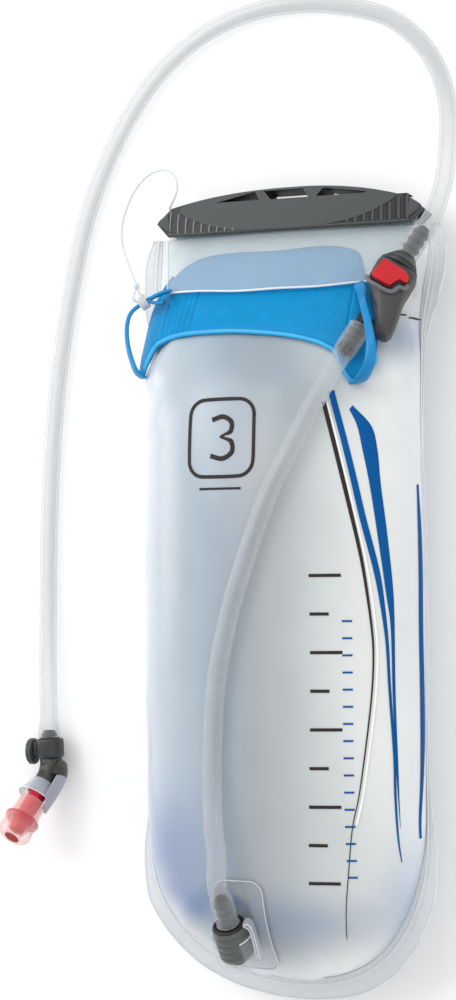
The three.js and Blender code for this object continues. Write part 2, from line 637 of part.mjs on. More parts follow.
// ---------------------------------------------------------------- hoses
const onPort = (z) => PORT_PLUG_END.clone().addScaledVector(portAxis, z);
const portMouth = PORT_BARB_Z + BARB_LENGTH + GAP;
const upperBarbEnd = PLUG_Z[1] + GAP + UPPER_BARB;
const onCoupling = (z) => COUPLING_LOW.clone().addScaledVector(couplingAxis, z);
const lowerHose = [
  onPort(portMouth), onPort(portMouth + 7), V(-19, -126.5, 90.6), V(-21, -113, 89.6),
  V(-22.2, -100.4, 87.2), V(-22.1, -71.3, 86.4), V(-19.6, -42.2, 86.8), V(-13.5, -13.2, 87.2),
  V(-4.4, 15.8, 87.2), V(8.4, 49.3, 86.4), V(19, 70, 85), V(28.6, 89.4, 81.6),
  onCoupling(-9), onCoupling(-GAP),
];
const HOSE_Z = HOSE_OD / 2;      // the hose lies on the floor for most of its way
const HOSE_END = V(-144, -70, 10);
const upperHose = [
  onCoupling(upperBarbEnd + GAP), onCoupling(upperBarbEnd + 8), V(82, 203, 30.5), V(82.2, 221, 23.5),
  V(80.4, 237, 13.6), V(77.8, 250, HOSE_Z + 2), V(73.6, 264, HOSE_Z), V(65, 279, HOSE_Z),
  V(48.4, 294, HOSE_Z), V(26.6, 302, HOSE_Z), V(0, 306, HOSE_Z), V(-28.3, 304, HOSE_Z),
  V(-56.6, 293.8, HOSE_Z), V(-82.5, 273.6, HOSE_Z), V(-104.2, 242.9, HOSE_Z), V(-120.8, 206.2, HOSE_Z),
  V(-131.7, 163.4, HOSE_Z), V(-139.1, 120.4, HOSE_Z), V(-143.5, 77.2, HOSE_Z), V(-145.9, 30, HOSE_Z),
  V(-146.4, -10, HOSE_Z + 0.4), V(-145.8, -40, HOSE_Z + 2.4), V(-144.6, -62, 9.4), HOSE_END,
];
add(group, 'lower_hose', tube(lowerHose, HOSE_OD, 10, 18), CLEAR);
add(group, 'upper_hose', tube(upperHose, HOSE_OD, 10, 36), CLEAR);

// ---------------------------------------------------------------- bite valve
const VALVE_Z = 10.4;
const hoseAxis = V(0.04, -1, 0).normalize();
const elbowOrigin = V(HOSE_END.x, HOSE_END.y, VALVE_Z);
// Local Z runs on along the hose, local X is up, local Y points away from the bag.
const hoseEnd = placed(elbowOrigin, hoseAxis, V(0, 0, 1));
add(hoseEnd, 'elbow_barb', turned(turnedRound(barb(GAP, 6.4, 3.4, 4.4, 2), 7), 12), DARK);

const magnetCollar = cut(
  join(
    turned([[0, 8], [7.2, 8], [7.6, 8.6], [7.6, 17], [6.8, 18], [0, 18]], 20),
    new THREE.BoxGeometry(9, 4, 8).translate(0, 5.9, 13),
  ),
  turned([[0, 0], [5.7, 0], [5.7, 30], [0, 30]], 20),
);
add(hoseEnd, 'magnet_collar', magnetCollar, DARK);
const CUP_FACE = 11.6;
const MAGNET_Z = 14.4;
const outwards = new THREE.Matrix4().makeBasis(V(1, 0, 0), V(0, 0, -1), V(0, 1, 0));
const facingOut = (geometry) => closed(geometry.applyMatrix4(outwards)).translate(0, 0, MAGNET_Z);
const magnetCup = cut(
  turned([[0, 8.2], [6.4, 8.2], [7, 8.8], [7, CUP_FACE - 0.6], [6.4, CUP_FACE], [0, CUP_FACE]], 22),
  turned([[0, 9.4], [5, 9.4], [5, 20], [0, 20]], 20),
);
add(hoseEnd, 'magnet_cup', facingOut(magnetCup), GREY);
const MAGNET_FACE = CUP_FACE + 0.4;
const magnetDisc = turned([[0, 9.7], [4.7, 9.7], [4.7, MAGNET_FACE], [0, MAGNET_FACE]], 20);
add(hoseEnd, 'magnet', facingOut(magnetDisc), STEEL);

// the elbow turns the mouth to the left and up from the floor
const MOUTH_AXIS = V(-0.26, -0.756, 0.6).normalize();
const ELBOW_CORNER = V(-142.2, -94.6, VALVE_Z);
const ELBOW_OD = 10.8;
const elbowStart = elbowOrigin.clone().addScaledVector(hoseAxis, 7 + GAP);
const elbowPath = [
  elbowStart, V(-143.36, -87.6, VALVE_Z), ELBOW_CORNER.clone().addScaledVector(hoseAxis, -3.6),
  ELBOW_CORNER.clone().addScaledVector(MOUTH_AXIS, 3), ELBOW_CORNER.clone().addScaledVector(MOUTH_AXIS, 9),
];
add(group, 'valve_elbow', tube(elbowPath, ELBOW_OD, 14, 12), DARK);

// Local Z runs out through the mouth; the shroud is a curved plate on the right.
const mouth = placed(ELBOW_CORNER, MOUTH_AXIS, V(0, 0, 1));
const SKIRT_Z = 9 + GAP;
const SHROUD_FROM = 1.12 * Math.PI;
const SHROUD_TO = 1.88 * Math.PI;
const SHROUD_R = [8.3, 9.9];

function arcShape(inner, outer, from, to) {
  const shape = new THREE.Shape();
  shape.absarc(0, 0, outer, from, to, false);
  shape.absarc(0, 0, inner, to, from, true);
  return shape;
}
add(mouth, 'valve_skirt', cut(
  turned([[0, SKIRT_Z], [6.4, SKIRT_Z], [7.4, 12.4], [9.4, 16.9], [9.6, 18.5], [0, 18.5]], 22),
  turned([[0, 12.4], [4, 12.4], [4, 16.5], [7.4, 18.7], [0, 19.1]], 18),
  slabOf(arcShape(SHROUD_R[0] - GAP, 12, SHROUD_FROM - 0.1, SHROUD_TO + 0.1), 16, 6),
), CLEAR);
add(mouth, 'valve_shroud', slabOf(arcShape(...SHROUD_R, SHROUD_FROM, SHROUD_TO), 19.5, 2.5), LILAC);
add(mouth, 'valve_core', turned([
  [0, 12.8], [3.6, 12.8], [3.6, 31.6], [5.6, 32.2], [5.6, 33.8], [3.4, 34.4], [2.6, 40], [0, 40],
], 16), RED);
const sheathOuter = [
  [6.4, 20.3], [7.6, 21], [7.8, 30.6], [9.6, 31.8], [9.8, 34], [8.4, 35.2],
  [8.8, 38], [9.1, 40.5], [8.8, 42.6], [7.6, 44], [3.2, 44],
];
const sheathInner = [[3.2, 42], [6, 36], [6.4, 34.9], [6.4, 21.4]];
add(mouth, 'bite_sheath', turned([...sheathOuter, ...sheathInner, [6.4, 20.3]], 20), PINK);

export default group;
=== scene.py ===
"""The looks of a three-litre hydration bladder that lies full on its flat back.
Lengths are written in millimetres and turned into metres when a mesh is made."""
from math import atan2, copysign, cos, exp, hypot, pi, radians, sin, sqrt

import bpy
import numpy as np
from mathutils import Matrix, Vector, noise


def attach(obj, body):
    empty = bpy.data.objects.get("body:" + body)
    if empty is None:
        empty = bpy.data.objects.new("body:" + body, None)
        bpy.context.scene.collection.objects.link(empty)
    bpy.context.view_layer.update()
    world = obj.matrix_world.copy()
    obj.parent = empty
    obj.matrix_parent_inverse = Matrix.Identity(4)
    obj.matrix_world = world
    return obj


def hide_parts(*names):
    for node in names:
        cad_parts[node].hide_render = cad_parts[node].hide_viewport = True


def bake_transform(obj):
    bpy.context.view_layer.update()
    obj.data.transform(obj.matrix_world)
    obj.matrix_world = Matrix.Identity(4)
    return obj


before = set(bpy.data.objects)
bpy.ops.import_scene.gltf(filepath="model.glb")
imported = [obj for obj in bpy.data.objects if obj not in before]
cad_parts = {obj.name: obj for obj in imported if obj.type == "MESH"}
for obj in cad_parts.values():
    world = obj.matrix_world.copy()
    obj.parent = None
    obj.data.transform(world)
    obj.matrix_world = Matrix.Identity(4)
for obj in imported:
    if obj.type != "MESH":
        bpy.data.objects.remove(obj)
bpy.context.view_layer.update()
MM = 0.001
V = lambda *v: np.array(v, float)
unit = lambda v: v / np.linalg.norm(v)
polar = lambda r, a, z: V(r * cos(a), r * sin(a), z)


def linked(name, data):
    """A new object of the scene that shows the data."""
    made = bpy.data.objects.new(name, data)
    bpy.context.collection.objects.link(made)
    return made


# ---- camera
CAMERA_AT = V(354.296, 7.429, 1095.873)
LENS, SENSOR_WIDTH, FARTHEST_SEEN = 79.8, 36, 20
TILT, PITCH, ROLL = (radians(a) for a in (20, 2, 0.5))
back = V(sin(TILT) * cos(PITCH), -sin(PITCH), cos(TILT) * cos(PITCH))
right0 = unit(np.cross(-back, V(0, 1, 0)))
up0 = np.cross(right0, -back)
right = cos(ROLL) * right0 - sin(ROLL) * up0
up = sin(ROLL) * right0 + cos(ROLL) * up0
camera_data = bpy.data.cameras.new("camera")
camera_data.lens, camera_data.sensor_width, camera_data.clip_end = LENS, SENSOR_WIDTH, FARTHEST_SEEN
camera = linked("camera", camera_data)
turn = Matrix((right, up, back)).transposed().to_4x4()
camera.matrix_world = Matrix.Translation(Vector(CAMERA_AT * MM)) @ turn
bpy.context.scene.camera = camera


# ---- materials
def srgb(*c):
    return tuple(((v / 255 + 0.055) / 1.055) ** 2.4 if v > 10 else v / 3294 for v in c) + (1,)


SOCKETS = {"alpha": "Alpha", "coat": "Coat Weight", "coat_rough": "Coat Roughness", "metallic": "Metallic",
           "specular": "Specular IOR Level"}
CLEAR_BLEND = 0.35


def material(name, color, rough=0.5, mottle=0.05, scale=300, bump=0.15, bump_scale=2500, depth=0.00003,
             attribute=None, clear=None, rough_spread=0.08, **sockets):
    """A procedural material: colour and roughness vary with one noise, and a finer one gives bump."""
    made = bpy.data.materials.new(name)
    made.use_nodes = True
    nodes, link = made.node_tree.nodes, made.node_tree.links.new
    shader = nodes["Principled BSDF"]
    for key, value in sockets.items():
        shader.inputs[SOCKETS[key]].default_value = value

    def node(kind, **inputs):
        new = nodes.new("ShaderNode" + kind)
        for key, value in inputs.items():
            new.inputs[key.replace("_", " ")].default_value = value
        return new

    place = node("TexCoord").outputs["Object"]
    large = node("TexNoise", Scale=scale, Detail=4)
    link(place, large.inputs["Vector"])
    fine = node("TexNoise", Scale=bump_scale, Detail=3)
    link(place, fine.inputs["Vector"])
    mix = node("Mix")
    mix.data_type = "RGBA"
    mix.blend_type = "MULTIPLY"
    mix.inputs["Factor"].default_value = 1
    ramp = node("ValToRGB")
    dark, light = ramp.color_ramp.elements
    dark.position, light.position = 0.3, 0.7
    dark.color, light.color = (1 - mottle * 2,) * 3 + (1,), (1, 1, 1, 1)
    link(large.outputs["Fac"], ramp.inputs["Fac"])
    if attribute:
        painted = node("Attribute")
        painted.attribute_name = attribute
        link(painted.outputs["Color"], mix.inputs[6])
    else:
        mix.inputs[6].default_value = srgb(*color)
    link(ramp.outputs["Color"], mix.inputs[7])
    link(mix.outputs[2], shader.inputs["Base Color"])
    spread = node("MapRange", To_Min=max(0.02, rough - rough_spread), To_Max=min(1, rough + rough_spread))
    link(large.outputs["Fac"], spread.inputs["Value"])
    link(spread.outputs["Result"], shader.inputs["Roughness"])
    bumped = node("Bump", Strength=bump, Distance=depth)
    link(fine.outputs["Fac"], bumped.inputs["Height"])
    link(bumped.outputs["Normal"], shader.inputs["Normal"])
    if clear:  # a clear wall: least opaque where it is seen face on, most at its edges, as glass is
        weight = node("LayerWeight", Blend=CLEAR_BLEND)
        opacity = node("MapRange", To_Min=clear[0], To_Max=clear[1])
        link(weight.outputs["Facing"], opacity.inputs["Value"])
        link(opacity.outputs["Result"], shader.inputs["Alpha"])
    return made


# the bag's colour is read from a colour layer of the film that holds painted shade and painted highlight
BAG = material("film_over_water", None, 0.30, 0.02, 40, 0.10, 1500, 0.00002, attribute="painted_shade_tint", coat=0.22,
               coat_rough=0.2, specular=0.4)
FILM = material("milky_film", (203, 219, 226), 0.34, 0.02, 60, 0.12, 1500, 0.00002, alpha=0.26, coat=0.15,
                coat_rough=0.2)
BORDER = material("weld_film", (220, 225, 229), 0.32, 0.02, 60, 0.15, 1200, 0.00003, alpha=0.6, coat=0.15,
                  coat_rough=0.2)
PLATE_EDGE = material("plate_edge", (232, 236, 240), 0.3, 0.01, 80, alpha=0.6)
EDGE = material("film_edge", (232, 235, 238), 0.3, 0.01, 80, alpha=0.9)
BLUE = material("blue_elastomer", (0, 138, 196), 0.42, 0.06, 120, 0.2, 3000, 0.00003, coat=0.05, coat_rough=0.25,
                specular=0.12)
CYAN = material("cyan_bead", (30, 168, 226), 0.3, 0.04, 120, coat=0.2)
STRAP = material("strap_elastomer", (0, 130, 192), 0.4, 0.05, 120, coat=0.15, specular=0.3)
GREY = material("grey_nylon", (64, 68, 69), 0.42, 0.05, 250, 0.35, 3500, 0.00004, specular=0.4)
GRIP = material("grip_nylon", (44, 46, 49), 0.5, 0.06, 250, 0.4, 3500, 0.00004)
RIB = material("rib_nylon", (128, 130, 134), 0.4, 0.05, 250, 0.3, 3500)
HOOK = material("hook_nylon", (104, 104, 106), 0.36, 0.05, 200, 0.4, 3500, 0.00005)
BOOT = material("boot_nylon", (60, 60, 61), 0.42, 0.05, 200, 0.4, 3500, 0.00005)
DARK = material("dark_nylon", (44, 46, 48), 0.42, 0.06, 250, 0.35, 3500, 0.00004)
ELBOW = material("elbow_nylon", (50, 49, 46), 0.4, 0.06, 250, 0.35, 3500, 0.00004)
BARB = material("barb_nylon", (30, 31, 29), 0.35, 0.06, 300, 0.3, 3500, specular=0.25)
OLIVE = material("plug_nylon", (82, 87, 84), 0.33, 0.06, 300, 0.3, 3500)
BLACK = material("black_rubber", (20, 20, 22), 0.6, 0.08, 300, 0.3, 3000)
LILAC = material("lilac_nylon", (160, 160, 174), 0.38, 0.05, 200, 0.25, 3500)
RED = material("red_gloss", (196, 8, 26), 0.2, 0.08, 120, 0.08, 3000, coat=0.5, coat_rough=0.08, specular=0.3)
CORE = material("red_core", (206, 6, 50), 0.35, 0.06, 200)
MOUTH_RED = material("mouth_red", (160, 4, 16), 0.5, 0.08, 260, specular=0.2)
BAND = material("pink_band", (214, 50, 76), 0.35, 0.05, 200, alpha=0.5, coat=0.2)
CUP = material("cup_plastic", (220, 226, 231), 0.16, 0.02, 100, 0.06, 2500, coat=0.2, coat_rough=0.08, clear=(0.03,
               0.3))
BLUEGREY = material("skirt_inside", (150, 162, 176), 0.35, 0.05, 200, alpha=0.7)
PINK = material("pink_silicone", (248, 176, 172), 0.3, 0.04, 150, 0.1, 2500, coat=0.3, coat_rough=0.12, clear=(0.14,
                0.7))
CLEAR = material("clear_plastic", (206, 212, 218), 0.16, 0.02, 100, 0.06, 2500, coat=0.3, coat_rough=0.08,
                 clear=(0.14, 0.75))
HOSE = material("clear_hose", (198, 203, 206), 0.22, 0.02, 120, 0.08, 2500, coat=0.25, coat_rough=0.1, clear=(0.13,
                0.6))
BORE = material("hose_bore", (196, 201, 205), 0.3, 0.02, 120, 0.05, 2500, clear=(0.07, 0.3))
CORD = material("clear_cord", (222, 226, 229), 0.3, 0.03, 300, alpha=0.85, coat=0.2)
STEEL = material("steel", (190, 192, 195), 0.28, 0.06, 600, 0.1, 4000, metallic=1.0)
PRINT_BLUE = material("print_blue", (0, 84, 150), 0.5, 0.03, 200, specular=0.1)
PRINT_DARK = material("print_dark", (44, 38, 34), 0.5, 0.04, 200, specular=0.2)
PRINT_WHITE = material("print_white", (240, 242, 243), 0.4, 0.01, 200)
PRINT_TICK = material("print_tick", (30, 32, 36), 0.45, 0.03, 200)

SLOTS = {
    "bag_film": (BAG, PRINT_BLUE, PRINT_DARK, PRINT_WHITE, PRINT_TICK), "film": (FILM, BORDER, EDGE), "hose": (HOSE,),
    "cord": (CORD,), "blue_rubber": (BLUE, CYAN, STRAP), "dark_plastic": (ELBOW, BARB), "lilac_plastic": (LILAC,),
    "grey_plastic": (GREY, GRIP, RIB, HOOK, BOOT, DARK, OLIVE, BLACK), "clear_plastic": (CUP, PLATE_EDGE, CLEAR),
    "light_grey_plastic": (BLUEGREY,), "red_plastic": (RED, CORE, MOUTH_RED), "pink_silicone": (BAND, PINK),
    "steel": (STEEL,)}
SLOT_OF = {finish.name: name for name, finishes in SLOTS.items() for finish in finishes}


# ---- mesh helpers
def dressed(name, mesh, finish, body="bag", replaces=(), smooth=35, rides=True, slot=None):
    """The mesh as a piece with its finish; the slot, its own or the finish's, is worked out but not used."""
    obj = linked(name, mesh)
    slot = slot or SLOT_OF[finish.name]
    mesh.materials.append(finish)
    mesh.polygons.foreach_set("use_smooth", [True] * len(mesh.polygons))
    if smooth:
        mesh.set_sharp_from_angle(angle=radians(smooth))
    if rides:
        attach(obj, body)
    if replaces:
        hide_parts(*replaces)
    return obj


def piece(name, points, faces, finish, *settings, **named_settings):
    mesh = bpy.data.meshes.new(name)
    mesh.from_pydata([tuple(p * MM) for p in points], [], faces)
    mesh.validate()
    return dressed(name, mesh, finish, *settings, **named_settings)


def flipped(faces):
    return [tuple(reversed(face)) for face in faces]


def caps(rows, n):
    """The first and the last ring of n points, as two end faces."""
    return [tuple(reversed(range(n))), tuple(range((rows - 1) * n, rows * n))]


def grid_faces(m, n, wrap=False):
    step = n if wrap else n - 1
    return [(i * n + j, i * n + (j + 1) % n, (i + 1) * n + (j + 1) % n, (i + 1) * n + j)
            for i in range(m - 1) for j in range(step)]


def modify(obj, kind, **settings):
    added = obj.modifiers.new(kind.lower(), kind)
    for key, value in settings.items():
        setattr(added, key, value)
    return obj


def solidify(obj, thickness, offset=-1.0):
    return modify(obj, "SOLIDIFY", thickness=thickness * MM, offset=offset, use_even_offset=False)


def bevel(obj, width, segments=2, angle=35):
    return modify(obj, "BEVEL", width=width * MM, segments=segments, limit_method="ANGLE",
                  angle_limit=radians(angle))


def lathe(profile, place, segments=48):
    """Points and faces of a closed turned piece; a radius of 0 makes a pole."""
    points, faces, rings = [], [], []
    for r, z in profile:
        if r < 1e-6:
            rings.append([len(points)])
            points.append(place(V(0, 0, z)))
        else:
            start = len(points)
            points += [place(polar(r, 2 * pi * i / segments, z)) for i in range(segments)]
            rings.append(list(range(start, start + segments)))
    for a, b in zip(rings, rings[1:]):
        if len(a) == 1 and len(b) == 1:
            continue
        for i in range(segments):
            j = (i + 1) % segments
            if len(a) == 1:
                faces.append((a[0], b[j], b[i]))
            elif len(b) == 1:
                faces.append((a[i], a[j], b[0]))
            else:
                faces.append((a[i], a[j], b[j], b[i]))
    return points, faces


def merged(*parts):
    points, faces = [], []
    for p, f in parts:
        start = len(points)
        points += list(p)
        faces += [tuple(i + start for i in face) for face in f]
    return points, faces


def swept_arc(profile, place, first, last, steps):
    """Points and faces of a closed (r, z) profile turned from one angle to another, in degrees."""
    points = [place(polar(r, a, z)) for a in np.radians(np.linspace(first, last, steps)) for r, z in profile]
    n = len(profile)
    return points, flipped(grid_faces(steps, n, wrap=True) + caps(steps, n))


def slab(outline, low, high, place):
    """Points and faces of an extruded outline; place turns (u, v, w) into the row frame."""
    n = len(outline)
    points = [place(V(u, v, low)) for u, v in outline] + [place(V(u, v, high)) for u, v in outline]
    return points, caps(2, n) + [(i, (i + 1) % n, n + (i + 1) % n, n + i) for i in range(n)]


def rounded(centre, half, corner, steps):
    """The points of a rectangle's four round corners, anticlockwise from its right side."""
    return [(centre[0] + sx * (half[0] - corner) + corner * cos(a),
             centre[1] + sy * (half[1] - corner) + corner * sin(a))
            for sx, sy, first in ((1, 1, 0), (-1, 1, 90), (-1, -1, 180), (1, -1, 270))
            for a in np.radians(np.linspace(first, first + 90, steps))]


def smoothed(points, steps):
    """Evenly spaced points on the centripetal curve through the given ones."""
    p = [np.array(q, float) for q in points]
    p = [2 * p[0] - p[1]] + p + [2 * p[-1] - p[-2]]
    dense = []
    for i in range(1, len(p) - 2):
        p0, p1, p2, p3 = p[i - 1:i + 3]
        d = [max(1e-6, np.linalg.norm(b - a) ** 0.5) for a, b in ((p0, p1), (p1, p2), (p2, p3))]
        t1 = (p1 - p0) / d[0] - (p2 - p0) / (d[0] + d[1]) + (p2 - p1) / d[1]
        t2 = (p2 - p1) / d[1] - (p3 - p1) / (d[1] + d[2]) + (p3 - p2) / d[2]
        t1, t2 = t1 * d[1], t2 * d[1]
        for k in range(24):
            t = k / 24
            dense.append(p1 + t1 * t + (-3 * p1 + 3 * p2 - 2 * t1 - t2) * t ** 2
                         + (2 * p1 - 2 * p2 + t1 + t2) * t ** 3)
    dense.append(p[-2])
    dense = np.array(dense)
    length = np.concatenate([[0], np.cumsum(np.linalg.norm(np.diff(dense, axis=0), axis=1))])
    at = np.linspace(0, length[-1], steps + 1)
    return np.stack([np.interp(at, length, dense[:, k]) for k in range(3)], axis=1)


def frames_along(path):
    """Tangent and two steady side directions at each point of a path."""
    ahead = np.gradient(path, axis=0)
    ahead /= np.linalg.norm(ahead, axis=1)[:, None]
    side = np.cross(ahead[0], V(0.3, 0.2, 1))
    out = []
    for t in ahead:
        side = unit(side - t * np.dot(side, t))
        out.append((t, side, np.cross(t, side)))
    return out


def tube(path, radius, sides, ends=True):
    """A tube; radius is a number or one number for each point."""
    radii = np.broadcast_to(radius, len(path))
    points = []
    for p, r, (t, a, b) in zip(path, radii, frames_along(path)):
        for i in range(sides):
            w = 2 * pi * i / sides
            points.append(p + r * cos(w) * a + r * sin(w) * b)
    faces = grid_faces(len(path), sides, wrap=True)
    if ends:
        faces += caps(len(path), sides)
    return points, faces


def hollow_tube(path, outer, inner, sides):
    """A tube wall with a bore, closed by a ring at each end."""
    m = len(path)
    outside, _ = tube(path, outer, sides, ends=False)
    inside, _ = tube(path, inner, sides, ends=False)
    faces = grid_faces(m, sides, wrap=True)
    start = m * sides
    faces += [tuple(start + i for i in reversed(face)) for face in grid_faces(m, sides, wrap=True)]
    for row, flip in ((0, True), (m - 1, False)):
        for i in range(sides):
            j = (i + 1) % sides
            ring = (row * sides + i, row * sides + j, start + row * sides + j, start + row * sides + i)
            faces.append(tuple(reversed(ring)) if flip else ring)
    return outside + inside, faces


# ---- the bag's shape, as in the CAD
GAP = 0.3
BAG_BOTTOM, BAG_NECK, END_START = -195, 184, -105
BAG_HALF_WIDTH, BAG_DEPTH, SEAM_END_Z, SEAM_MID_Z, SEAM_NECK_Z = 72.5, 82, 8, 42, 20
END_POWER = 2.25


def along(positions, values):
    """The cubic curve through the values that the CAD uses."""
    xs, ys = [float(v) for v in positions], [float(v) for v in values]

    def at(t):
        if t <= xs[0]:
            return ys[0]
        if t >= xs[-1]:
            return ys[-1]
        i = int(np.searchsorted(xs, t, side="right"))
        i = min(max(i, 1), len(xs) - 1)
        t0, t1 = xs[i - 1], xs[i]
        before, y_before = (xs[i - 2], ys[i - 2]) if i >= 2 else (t1, ys[i])
        after, y_after = (xs[i + 1], ys[i + 1]) if i + 1 < len(xs) else (t0, ys[i - 1])
        half = (t1 - t0) * 0.5
        wp, wn = half / (t0 - before), half / (after - t1)
        p = (t - t0) / (t1 - t0)
        return ((-wp * p ** 3 + 2 * wp * p * p - wp * p) * y_before
                + ((1 + wp) * p ** 3 + (-1.5 - 2 * wp) * p * p + (-0.5 + wp) * p + 1) * ys[i - 1]
                + ((-1 - wn) * p ** 3 + (1.5 + wn) * p * p + 0.5 * p) * ys[i]
                + (wn * p ** 3 - wn * p * p) * y_after)
    return at


def smooth(x, low, high):
    t = min(1, max(0, (x - low) / (high - low)))
    return t * t * (3 - 2 * t)


side_width = along([END_START, 0, 76, 115, 130, 150, 166, BAG_NECK], [72.5, 73, 72, 71.5, 70, 70, 71.5, 72])
front_rise = along([0, 50, 85, 110, 130, 150, 165, BAG_NECK], [40, 39, 35.5, 32, 29, 23.6, 16.7, 1.2])
back_drop = along([BAG_BOTTOM, -188, -178, -165, -140, 60, 110, 130, 150, 165, BAG_NECK],
                  [7, 20, 31, 40, 45, 45, 43, 35, 22, 13.5, 1.2])


def half_width(y):
    if y > END_START:
        return side_width(y)
    t = min(1, (END_START - y) / (END_START - BAG_BOTTOM))
    return BAG_HALF_WIDTH * max(0, 1 - t ** END_POWER) ** (1 / END_POWER)


def seam_z(y):
    s = min(1, max(0, (y + 209) / 70))
    low = SEAM_END_Z + (SEAM_MID_Z - SEAM_END_Z) * sin(0.5 * pi * s ** 0.75)
    return low - (SEAM_MID_Z - SEAM_NECK_Z) * smooth(y, 95, 190)


def rise(y):
    if y > 0:
        return front_rise(y)
    t = min(1, max(0, (-60 - y) / 136))
    return (BAG_DEPTH - SEAM_MID_Z) * sqrt(1 - t ** 2.6)


def front_z(x, y):
    full = 1 - smooth(y, 125, BAG_NECK)
    u = min(1, abs(x) / max(1e-6, half_width(y)))
    return seam_z(y) + rise(y) * (1 - u ** (2 + 0.5 * full)) ** (1 / (1.1 + 0.8 * full))


def back_z(x, y):
    u = min(1, abs(x) / max(1e-6, half_width(y)))
    return max(GAP / 2, seam_z(y) - back_drop(y) * sqrt(max(0, 1 - u ** 2.8)))


def creases(x, y):
    """Small folds of the film: at the neck, on the shoulders and round the bottom weld."""
    n = noise.noise(Vector((x * 0.045, y * 0.02, 3.1)))
    u = abs(x) / max(1, half_width(y))
    neck = smooth(y, 120, 160) * (1 - smooth(y, 172, 184)) * 0.9 * sin(x * 0.33 + 3 * n)
    shoulder = smooth(y, 70, 105) * (1 - smooth(y, 150, 175)) * smooth(u, 0.6, 0.9) * (1 - smooth(u, 0.96, 1.0))
    shoulder *= 1.3 * sin((y + 0.9 * abs(x)) * 0.23 + 2.5 * n)
    bottom = (1 - smooth(y, -178, -128)) * smooth(u, 0.2, 0.6) * (1 - smooth(u, 0.9, 1.0))
    bottom *= 0.8 * sin(atan2(y + 105, x) * 24 + 2 * n)
    side = smooth(u, 0.86, 0.94) * (1 - smooth(u, 0.97, 1.0)) * 0.35 * sin(y * 0.07 + 4 * n)
    return neck + shoulder + bottom + side + 0.35 * n


def front_normal(x, y):
    d = 0.5
    return unit(V(front_z(x - d, y) - front_z(x + d, y), front_z(x, y - d) - front_z(x, y + d), 2 * d))


def on_front(x, y, lift):
    return V(x, y, front_z(x, y)) + lift * front_normal(x, y)


# ---- frames of the fittings
def placer(origin, axis, front):
    axis = unit(axis)
    x = unit(front - axis * np.dot(front, axis))
    y = np.cross(axis, x)
    return lambda p: origin + p[0] * x + p[1] * y + p[2] * axis


PORT_HOSE_END, PORT_PLUG_END = V(-18, -157.5, 80.5), V(-16.6, -177.5, 68.5)
port_axis = unit(PORT_HOSE_END - PORT_PLUG_END)
port = placer(PORT_PLUG_END, port_axis, V(0, 0, 1))
on_port = lambda z: PORT_PLUG_END + port_axis * z
COUPLING_LOW, COUPLING_HIGH = V(43.1, 115.7, 75.5), V(76.4, 182.1, 39)
coupling_axis = unit(COUPLING_HIGH - COUPLING_LOW)
coupling = placer(COUPLING_LOW, coupling_axis, V(0.32, 0.3, 0.9))
on_coupling = lambda z: COUPLING_LOW + coupling_axis * z
VALVE_Z = 10.4
hose_axis = unit(V(0.04, -1, 0))
hose_end = placer(V(-144, -70, VALVE_Z), hose_axis, V(0, 0, 1))
MOUTH_AXIS = unit(V(-0.26, -0.756, 0.6))
ELBOW_CORNER = V(-142.2, -94.6, VALVE_Z)
mouth = placer(ELBOW_CORNER, MOUTH_AXIS, V(0, 0, 1))

# ---- cords: the routes of the CAD
HOSE_OD, HOSE_BORE = 9.5, 6.4
PORT_MOUTH, UPPER_BARB_END, HOSE_Z = 35.6, 78.0, 4.75
LOWER_ROUTE = [
    on_port(PORT_MOUTH), on_port(PORT_MOUTH + 7), V(-19, -126.5, 90.6), V(-21, -113, 89.6), V(-22.2, -100.4, 87.2),
    V(-22.1, -71.3, 86.4), V(-19.6, -42.2, 86.8), V(-13.5, -13.2, 87.2), V(-4.4, 15.8, 87.2), V(8.4, 49.3, 86.4),
    V(19, 70, 85), V(28.6, 89.4, 81.6), on_coupling(-9), on_coupling(-GAP)]
UPPER_ROUTE = [
    on_coupling(UPPER_BARB_END + GAP), on_coupling(UPPER_BARB_END + 8), V(82, 203, 30.5), V(82.2, 221, 23.5),
    V(80.4, 237, 13.6), V(77.8, 250, HOSE_Z + 2), V(73.6, 264, HOSE_Z), V(65, 279, HOSE_Z), V(48.4, 294, HOSE_Z),
    V(26.6, 302, HOSE_Z), V(0, 306, HOSE_Z), V(-28.3, 304, HOSE_Z), V(-56.6, 293.8, HOSE_Z), V(-82.5, 273.6, HOSE_Z),
    V(-104.2, 242.9, HOSE_Z), V(-120.8, 206.2, HOSE_Z), V(-131.7, 163.4, HOSE_Z), V(-139.1, 120.4, HOSE_Z),
    V(-143.5, 77.2, HOSE_Z), V(-145.9, 30, HOSE_Z), V(-146.4, -10, HOSE_Z + 0.4), V(-145.8, -40, HOSE_Z + 2.4),
    V(-144.6, -62, 9.4), V(-144, -70, 10)]
TETHER_ROUTE = [V(*p) for p in (
    (-67.2, 199.6, 24), (-65.2, 203.2, 24.3), (-63.4, 208, 23.6), (-63.4, 213.6, 22), (-66, 218.4, 20.3),
    (-70.5, 221.3, 18.8), (-76.2, 221.6, 17.6), (-82, 219.6, 16.6), (-87.4, 215.3, 16), (-91.6, 209.5, 15.8),
    (-94.7, 202.6, 16), (-96.5, 195.4, 16.8), (-96.4, 188, 18.6), (-94, 181, 22), (-90, 174.4, 27),
    (-85.4, 168.4, 33.6), (-80.4, 162.4, 41), (-75.4, 156.6, 49.4))]


